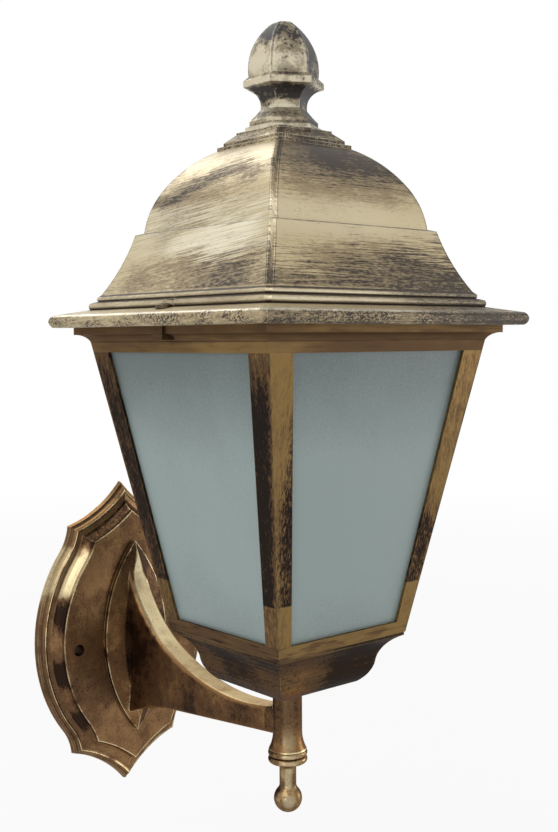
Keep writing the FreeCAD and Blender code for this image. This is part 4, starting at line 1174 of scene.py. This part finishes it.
@dataclass
class Mounting:
    """Wall plate, arm, bottom pan and drop finial in antique bronze."""

    lantern: Lantern
    field_rise: float = 13.0 * MM
    bead_rise: float = 6.2 * MM
    hole_across: float = 33.5 * MM
    hole_drop: float = 2.5 * MM
    hole_radius: float = 2.95 * MM
    # Bands of painted highlight and painted dark reflection along the cove.
    cove_lit: Span = Span(23.0, 47.0, 3.0)
    cove_dark_reflections: tuple[Span, ...] = (
        Span(7.0, 19.0, 6.0), Span(-22.0, -6.0, 7.0), Span(-46.0, -36.0, 5.0)
    )
    cove_end: Ease = Ease(50.0, 54.0)
    cove_swing: float = 30.0 * MM
    crown_rise: float = 18.0 * MM
    taper_tip: float = 47.0 * MM
    taper_growth: float = 0.22
    taper_edge: Ease = Ease(0.5, -0.7)
    taper_foot: Ease = Ease(26.0, 31.0)
    flange_front: Ease = Ease(-9.0, -11.0)
    # Where the painted highlight on the arm's upper face is strongest.
    highlight_root: Ease = Ease(-54.0, -40.0)
    highlight_end: Ease = Ease(-86.0, -102.0)
    hub_shaft: Ease = Ease(-26.0, -16.0)
    pan_gold: Ease = Ease(-8.0, -20.0)
    pan_dark: Ease = Ease(-14.0, 6.0)
    # The side of a turned piece that gets the painted highlight.
    highlight_side: Triple = (-0.6, -0.8, 0.0)

    def dress(self, frame: Mapping[str, Any]) -> None:
        """Paint the cast pieces that carry the lantern.

        Args:
            frame: The loaded frame.
        """
        dress(frame, ["wall_plate"], self.plate_paint())
        dress(frame, ["arm"], self.arm_paint())
        dress(frame, ["bottom_pan"], self.pan_paint())
        dress(frame, ["drop_finial"], self.drop_paint())

    def turned(self, board: Board) -> tuple[Tone, Tone]:
        """Painted shade round the back of a turned piece, and a painted highlight down its front.
        """
        rub_and_highlight = board.toward(self.highlight_side)
        return rub_and_highlight.ramp(0.75, 0.1), rub_and_highlight.ramp(0.82, 1.0)

    def drop_paint(self) -> bpy.types.Material:
        """Paint the drop finial: a painted highlight down its front, painted shade round its back.

        Returns:
            The finial's material.
        """
        board = Board("drop_paint")
        back, rub_and_highlight = self.turned(board)
        return GILDED.paint(board, Touch(dark=back * 0.44, painted_highlight=rub_and_highlight * 0.34))

    def plate_paint(self) -> bpy.types.Material:
        """Paint the plate: painted highlight on the cove near the shoulders, painted dark
        reflections below.

        Returns:
            The plate's material.
        """
        board = Board("plate_paint")
        across, depth, up = board.axes()
        rise = depth * -1
        _, rearward, _ = board.facing()
        shown = rearward.ramp(0.05, -0.1)
        cove = rise.between(self.bead_rise + 0.2 * MM, self.field_rise - 0.2 * MM, 0.2 * MM) * shown
        rim = rise.ramp(self.bead_rise, self.bead_rise - 0.6 * MM) * shown
        along = up + (board.noise((70.0, 70.0, 45.0), 3.0, 4.4) - 0.5) * self.cove_swing
        # A painted highlight on the cove and rim near the shoulders, and painted dark reflections
        # further down.
        lit = along.within(self.cove_lit)
        dark_reflections = along.within(*self.cove_dark_reflections).most(along.past(self.cove_end) * 0.7)
        # The screw holes are painted dark as shade.
        off, drop = abs(across) - self.hole_across, up + self.hole_drop
        hole = (off * off + drop * drop).root()
        mouth = hole.ramp(self.hole_radius + 2.0 * MM, self.hole_radius + MM)
        hole = hole.ramp(self.hole_radius + 0.1 * MM, self.hole_radius)
        return CAST.paint(board, Touch(
            dark=cove * dark_reflections * 0.7 + hole + (1 - shown) * 0.2 + rim * 0.13,
            painted_highlight=cove * lit * 0.8 + rim * lit * 0.5,
            still=(rim * 0.7).most(mouth),
        ))

    def arm_paint(self) -> bpy.types.Material:
        """Paint the arm: a painted highlight along its upper face from the flange to the hub.

        The highlight tapers up the flange. The flange's right half is in painted shade and the
        web's flanks are dark, and the hub carries the painted highlight and shade of a turned
        piece, with its shaft left dark above a bright flare.

        Returns:
            The arm's material.
        """
        board = Board("arm_paint")
        across, depth, up = board.axes()
        sideways, _, skyward = board.facing()
        hub = self.lantern.axis.y
        web = depth.ramp(-self.crown_rise - 1.2 * MM, -self.crown_rise - 2.2 * MM)
        crest = abs(sideways).ramp(0.6, 0.2) * skyward.ramp(-0.3, 0.0) * web
        crest = crest * depth.ramp(hub + 6.0 * MM, hub + 8.0 * MM)
        taper = (abs(across) + (up - self.taper_tip) * self.taper_growth).past(self.taper_edge)
        taper = taper * up.past(self.taper_foot) * depth.past(self.flange_front)
        # The painted highlight on the upper face is strongest near the root and the hub.
        ends = depth.past(self.highlight_root) + depth.past(self.highlight_end)
        crest_highlight = board.noise((120.0, 120.0, 60.0), 4.0, 2.9).ramp(0.25, 0.6)
        crest_highlight = crest_highlight * 0.4 + ends * 0.3 + 0.2
        post = depth.ramp(hub + 26.0 * MM, hub + 6.0 * MM)
        flank = abs(sideways).ramp(0.8, 0.95) * (1 - post)
        # Painted shade on the flange's right half.
        lee = sideways.ramp(0.05, 0.2) * (1 - taper) * (1 - web)
        barrel = depth.ramp(hub + 9.5 * MM, hub + 8.5 * MM)
        back, rub_and_highlight = self.turned(board)
        shaft = up.past(self.hub_shaft)
        return ANTIQUE.paint(board, Touch(
            lift=post * 0.08,
            dark=flank * 0.27 + lee * 0.4 + barrel * (back * 0.4 + shaft * 0.3),
            painted_highlight=crest.most(taper) * crest_highlight + barrel * rub_and_highlight * (1 - shaft * 0.85) * 0.34,
        ))

    def pan_paint(self) -> bpy.types.Material:
        """Paint the pan: gilt beside the front corner, darker away from it.

        Returns:
            The pan's material.
        """
        board = Board("pan_paint")
        run, reach, _ = board.axes((0.0, self.lantern.axis.y, 0.0))
        front = (abs(reach) - abs(run)).ramp(0.0, MM)
        return BRUSHED.paint(board, Touch(
            lift=front * run.past(self.pan_gold) * 0.25,
            dark=front * run.past(self.pan_dark) * 0.2 + 0.2,
        ))


@dataclass
class Fittings:
    """Lampholder, bulb, tube, nuts and terminal block inside the casting."""

    opal: Colour = Colour(240, 238, 230)
    nickel: Colour = Colour(196, 194, 188)
    cap_top_share: float = 0.254
    thread_flank: float = 1.8 * MM
    thread_depth: float = 0.8 * MM

    def dress(self, frame: Mapping[str, Any]) -> None:
        """Dress the inner pieces.

        Args:
            frame: The loaded frame.
        """
        steel, brass = STEEL.paint(), BRASS.paint()
        dress(frame, ["tube_washer", "finial_stud", "finial_washer", "finial_nut"], steel)
        dress(frame, ["threaded_tube", "tube_nut", "lampholder_shell", "lampholder_contact"], brass)
        dress(frame, ["lampholder_body"], PORCELAIN.paint())
        dress(frame, ["terminal_block"], PLASTIC.paint())
        dress(frame, ["bulb"], self.bulb_material())

    def bulb_material(self) -> bpy.types.Material:
        """Opal glass over a nickelled cap with a rolled thread.

        Returns:
            The bulb's material.
        """
        low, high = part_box("bulb")
        board = Board("opal_bulb")
        _, _, up = board.axes((0.0, 0.0, low.z))
        cap_top = (high.z - low.z) * self.cap_top_share
        cap = up.ramp(cap_top + 0.3 * MM, cap_top - 0.3 * MM)
        thread = up.math("PINGPONG", up, self.thread_flank) * (1 / self.thread_flank)
        return board.surface({
            "Base Color": board.blend(cap, self.opal.linear(), self.nickel.linear()),
            "Metallic": cap * 0.9,
            "Roughness": 0.3 - cap * 0.02,
            "Normal": board.bump(thread * cap, self.thread_depth),
        })


@dataclass
class ScrewSet:
    """Cross-recessed machine screws that stand for one node of plain ones."""

    node: str
    slot: str
    finish: PlainFinish
    head_radius: float
    head_height: float
    shank_radius: float
    heading: Vector
    pitch: float = 0.8 * MM
    turns: int = 48
    head_rings: int = 22
    first_ring: float = 0.06
    side_share: float = 0.62
    recess_arm: float = 0.58
    recess_width: float = 0.13
    recess_depth: float = 0.45
    thread_depth: float = 0.28
    pitch_rings: int = 6
    sharp_from: float = math.radians(35)

    def seats(self) -> list[Vector]:
        """Where the heads sit: the corners of the node's box, in by a head's radius.

        Returns:
            One point under the middle of each head.
        """
        low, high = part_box(self.node)
        choices = []
        for axis in range(3):
            if abs(self.heading[axis]) > 0.5:
                top = high[axis] if self.heading[axis] > 0 else low[axis]
                choices.append([top - self.heading[axis] * self.head_height])
                continue
            ends = (low[axis] + self.head_radius, high[axis] - self.head_radius)
            choices.append([ends[0]] if ends[1] - ends[0] < self.head_radius else list(ends))
        return [Vector(place) for place in product(*choices)]

    def shank_length(self) -> float:
        """How far the shank reaches below its head.

        Returns:
            The node's length along the heading, less the head.
        """
        low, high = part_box(self.node)
        axis = max(range(3), key=lambda index: abs(self.heading[index]))
        return high[axis] - low[axis] - self.head_height

    def profile(self, angle: np.ndarray) -> tuple[np.ndarray, np.ndarray]:
        """Rings of one screw as arrays of radius and height, a row a ring, a column an angle.

        The head is a dome, its height falling with the square of the radius, less a cross
        recess. The shank's radius falls and rises once a pitch, shifted by the angle, so
        the wave winds round it as a thread.

        Args:
            angle: The columns' angles.

        Returns:
            Radii and heights, from the head's middle outwards and down to the tip.
        """
        shares = np.linspace(self.first_ring, 1.0, self.head_rings)[:, None]
        head = shares * self.head_radius * np.ones_like(angle)
        side = self.head_height * self.side_share
        dome = side + (self.head_height - side) * (1 - (head / self.head_radius) ** 2)
        across, along = np.abs(head * np.cos(angle)), np.abs(head * np.sin(angle))
        arm, width = self.head_radius * self.recess_arm, self.head_radius * self.recess_width
        bars = np.maximum(
            np.minimum(arm - across, width - along), np.minimum(arm - along, width - across)
        )
        dome = dome - np.clip(bars / (width * 0.5), 0, 1) * self.head_height * self.recess_depth
        length = self.shank_length()
        rings = max(12, int(length / self.pitch * self.pitch_rings))
        drop = np.linspace(0, length, rings)[:, None]
        wave = 0.5 + 0.5 * np.cos(2 * np.pi * drop / self.pitch - angle)
        fade = np.clip((length - drop) / self.pitch, 0, 1)
        shank = self.shank_radius - self.pitch * self.thread_depth * (1 - wave * fade)
        rim = np.full((1, self.turns), self.head_radius)
        radii = np.vstack([head, rim, shank])
        heights = np.vstack([dome, np.zeros_like(rim), -drop * np.ones_like(angle)])
        return radii, heights

    def points(self) -> tuple[np.ndarray, int]:
        """The points of one screw that sits at the origin.

        Returns:
            The rings' points, the head's middle and the tip, and the number of rings.
        """
        angle = np.linspace(0, 2 * np.pi, self.turns, endpoint=False)
        radii, heights = self.profile(angle)
        up = np.array(self.heading)
        right = np.array(self.heading.orthogonal().normalized())
        ahead = np.cross(up, right)
        spokes = np.cos(angle)[:, None] * right + np.sin(angle)[:, None] * ahead
        rings = radii[..., None] * spokes + heights[..., None] * up
        poles = np.array([up * heights[0].mean(), up * heights[-1].mean()])
        return np.vstack([rings.reshape(-1, 3), poles]), len(radii)

    def faces(self, rows: int) -> list[list[int]]:
        """The faces of one screw: quads between its rings, and a fan at each end.

        Args:
            rows: How many rings it has.

        Returns:
            The points of each face, by number.
        """
        columns = self.turns
        start = np.arange(columns)
        after = (start + 1) % columns
        row = np.arange(rows - 1)[:, None] * columns
        below = row + columns
        quads = np.stack([row + start, below + start, below + after, row + after], axis=-1)
        top, last = rows * columns, (rows - 1) * columns
        head = np.stack([np.full(columns, top), start, after], axis=-1)
        tip = np.stack([np.full(columns, top + 1), last + after, last + start], axis=-1)
        return quads.reshape(-1, 4).tolist() + head.tolist() + tip.tolist()

    def build(self) -> bpy.types.Object:
        """Build the screws as one piece that replaces the node.

        Returns:
            The new piece.
        """
        single, rows = self.points()
        pattern = self.faces(rows)
        points: list[list[float]] = []
        faces: list[list[int]] = []
        for seat in self.seats():
            faces += [[len(points) + corner for corner in face] for face in pattern]
            points += (single + np.array(seat)).tolist()
        mesh = bpy.data.meshes.new(f"{self.node}_cut")
        mesh.from_pydata(points, [], faces)
        mesh.shade_smooth()
        mesh.set_sharp_from_angle(angle=self.sharp_from)
        mesh.materials.append(self.finish.paint())
        piece = bpy.data.objects.new(f"{self.node}_cut", mesh)
        bpy.context.scene.collection.objects.link(piece)
        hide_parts(self.node)
        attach(piece, BODY)
        LOG.info("built %s with %d faces", piece.name, len(faces))
        return piece


def screw_sets() -> list[ScrewSet]:
    """The lantern's screws, from the roof down to the wall.

    Returns:
        One set for each node of screws.
    """
    up, back = Vector((0, 0, 1)), Vector((0, 1, 0))
    return [
        ScrewSet("roof_screws", "steel", DARK_STEEL, 3.5 * MM, 2.4 * MM, 2.0 * MM, up),
        ScrewSet("pan_screws", "steel", STEEL, 2.4 * MM, 1.6 * MM, 1.25 * MM, up, 0.5 * MM),
        ScrewSet("arm_screws", "steel", STEEL, 4.4 * MM, 3.0 * MM, 2.5 * MM, back),
        ScrewSet("earth_screw", "brass", BRASS, 3.8 * MM, 2.6 * MM, 2.0 * MM, back, 0.7 * MM),
        ScrewSet("terminal_screw", "steel", STEEL, 2.4 * MM, 1.6 * MM, 1.25 * MM, back, 0.5 * MM),
    ]


@dataclass(frozen=True)
class Lamp:
    """One square, soft light."""

    name: str
    place: Triple
    size: float
    power: float


@dataclass
class Studio:
    """Pale floor, soft light and the camera of the photograph."""

    floor_drop: float = 0.09
    floor_reach: float = 2.4
    floor_sides: int = 96
    floor_grey: float = 0.9
    floor_white: float = 0.86
    fade_start: float = 0.35
    fade_end: float = 0.9
    ambient: float = 0.45
    lit_point: Triple = (0.0, -0.13, 0.10)
    lights: tuple[Lamp, ...] = (
        Lamp("key", (-0.85, -0.30, 1.05), 1.4, 7.2),
        Lamp("rim", (0.05, 0.85, 0.95), 0.6, 2.2),
        Lamp("fill", (1.10, -0.60, 0.10), 0.6, 3.6),
        Lamp("kick", (-0.95, -0.55, 0.00), 0.35, 0.7),
    )
    camera_place: Triple = (-0.3364, -0.5246, 0.1556)
    camera_yaw: float = math.radians(40.60)
    camera_pitch: float = math.radians(3.76)
    camera_roll: float = math.radians(-0.36)
    focal_length: float = 50.3
    sensor: float = 36.0
    clip_start: float = 0.01

    def build(self) -> None:
        """Set up the whole studio."""
        self.floor()
        self.world()
        self.lamps()
        self.camera()
        bpy.context.scene.view_settings.view_transform = "Standard"

    def floor(self) -> None:
        """A pale disc under the lantern that fades out into the white surroundings."""
        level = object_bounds()[0][2] - self.floor_drop
        angle = np.linspace(0, 2 * np.pi, self.floor_sides, endpoint=False)
        ring = np.stack([np.cos(angle), np.sin(angle), np.zeros_like(angle)], axis=-1)
        ring = ring * self.floor_reach + [0, 0, level]
        mesh = bpy.data.meshes.new("floor")
        mesh.from_pydata(ring.tolist(), [], [list(range(len(ring)))])
        mesh.materials.append(self.floor_material())
        floor = bpy.data.objects.new("floor", mesh)
        bpy.context.scene.collection.objects.link(floor)
        floor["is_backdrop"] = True

    def floor_material(self) -> bpy.types.Material:
        """Matt grey for the light, nearly white to the eye, and clear towards the rim.

        Returns:
            The floor's material.
        """
        board = Board("pale_floor")
        across, along, _ = board.axes()
        distance = (across * across + along * along).root()
        fade = distance.ramp(self.fade_start, self.floor_reach * self.fade_end)
        grey = (self.floor_grey,) * 3 + (1.0,)
        matt = board.add("ShaderNodeBsdfDiffuse", inputs={"Color": grey}).outputs[0]
        white = board.add("ShaderNodeEmission", inputs={"Strength": 1.0}).outputs[0]
        clear = board.add("ShaderNodeBsdfTransparent").outputs[0]
        seen = {0: board.watched() * self.floor_white, 1: matt, 2: white}
        pale = board.add("ShaderNodeMixShader", inputs=seen).outputs[0]
        return board.close(board.add("ShaderNodeMixShader", inputs={0: fade, 1: pale, 2: clear}))

    def world(self) -> None:
        """White surroundings to the eye and in reflections, and a softer light on the object."""
        world = bpy.data.worlds.new("studio")
        bpy.context.scene.world = world
        world.use_nodes = True
        wiring = Wiring(world.node_tree)
        strength = wiring.watched() * (1 - self.ambient) + self.ambient
        light = wiring.add("ShaderNodeBackground", inputs={"Color": WHITE, "Strength": strength})
        wiring.add("ShaderNodeOutputWorld", inputs={"Surface": light.outputs[0]})

    def lamps(self) -> None:
        """A large soft key high on the left, one over the wall and a weak one low on each side."""
        for light in self.lights:
            lamp = bpy.data.lights.new(light.name, "AREA")
            lamp.energy = light.power
            lamp.size = light.size
            holder = bpy.data.objects.new(light.name, lamp)
            holder.location = light.place
            aim = Vector(self.lit_point) - Vector(light.place)
            holder.rotation_euler = aim.to_track_quat("-Z", "Y").to_euler()
            bpy.context.scene.collection.objects.link(holder)

    def camera(self) -> None:
        """A camera where the photograph was taken from, turned by yaw, pitch and roll."""
        yaw, pitch, roll = self.camera_yaw, self.camera_pitch, self.camera_roll
        level = Vector((math.sin(yaw), math.cos(yaw), 0.0))
        ahead = level * math.cos(pitch) - Vector((0.0, 0.0, math.sin(pitch)))
        right = Vector((math.cos(yaw), -math.sin(yaw), 0.0))
        up = right.cross(ahead)
        turned = right * math.cos(roll) + up * math.sin(roll)
        upright = up * math.cos(roll) - right * math.sin(roll)
        lens = bpy.data.cameras.new("photograph")
        lens.sensor_fit = "VERTICAL"
        lens.sensor_height = self.sensor
        lens.lens = self.focal_length
        lens.clip_start = self.clip_start
        camera = bpy.data.objects.new("photograph", lens)
        basis = Matrix((turned, upright, -ahead)).transposed().to_4x4()
        camera.matrix_world = Matrix.Translation(self.camera_place) @ basis
        bpy.context.scene.collection.objects.link(camera)
        bpy.context.scene.camera = camera


def main() -> None:
    """Load the frame, dress the lantern and set up the studio."""
    logging.basicConfig(level=logging.INFO, format="%(name)s: %(message)s")
    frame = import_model()
    lantern = Lantern()
    for assembly in (Roof, TopFinial, Cage, Panes, Mounting):
        assembly(lantern).dress(frame)
    Fittings().dress(frame)
    for screws in screw_sets():
        screws.build()
    Studio().build()


if __name__ == "__main__":
    main()
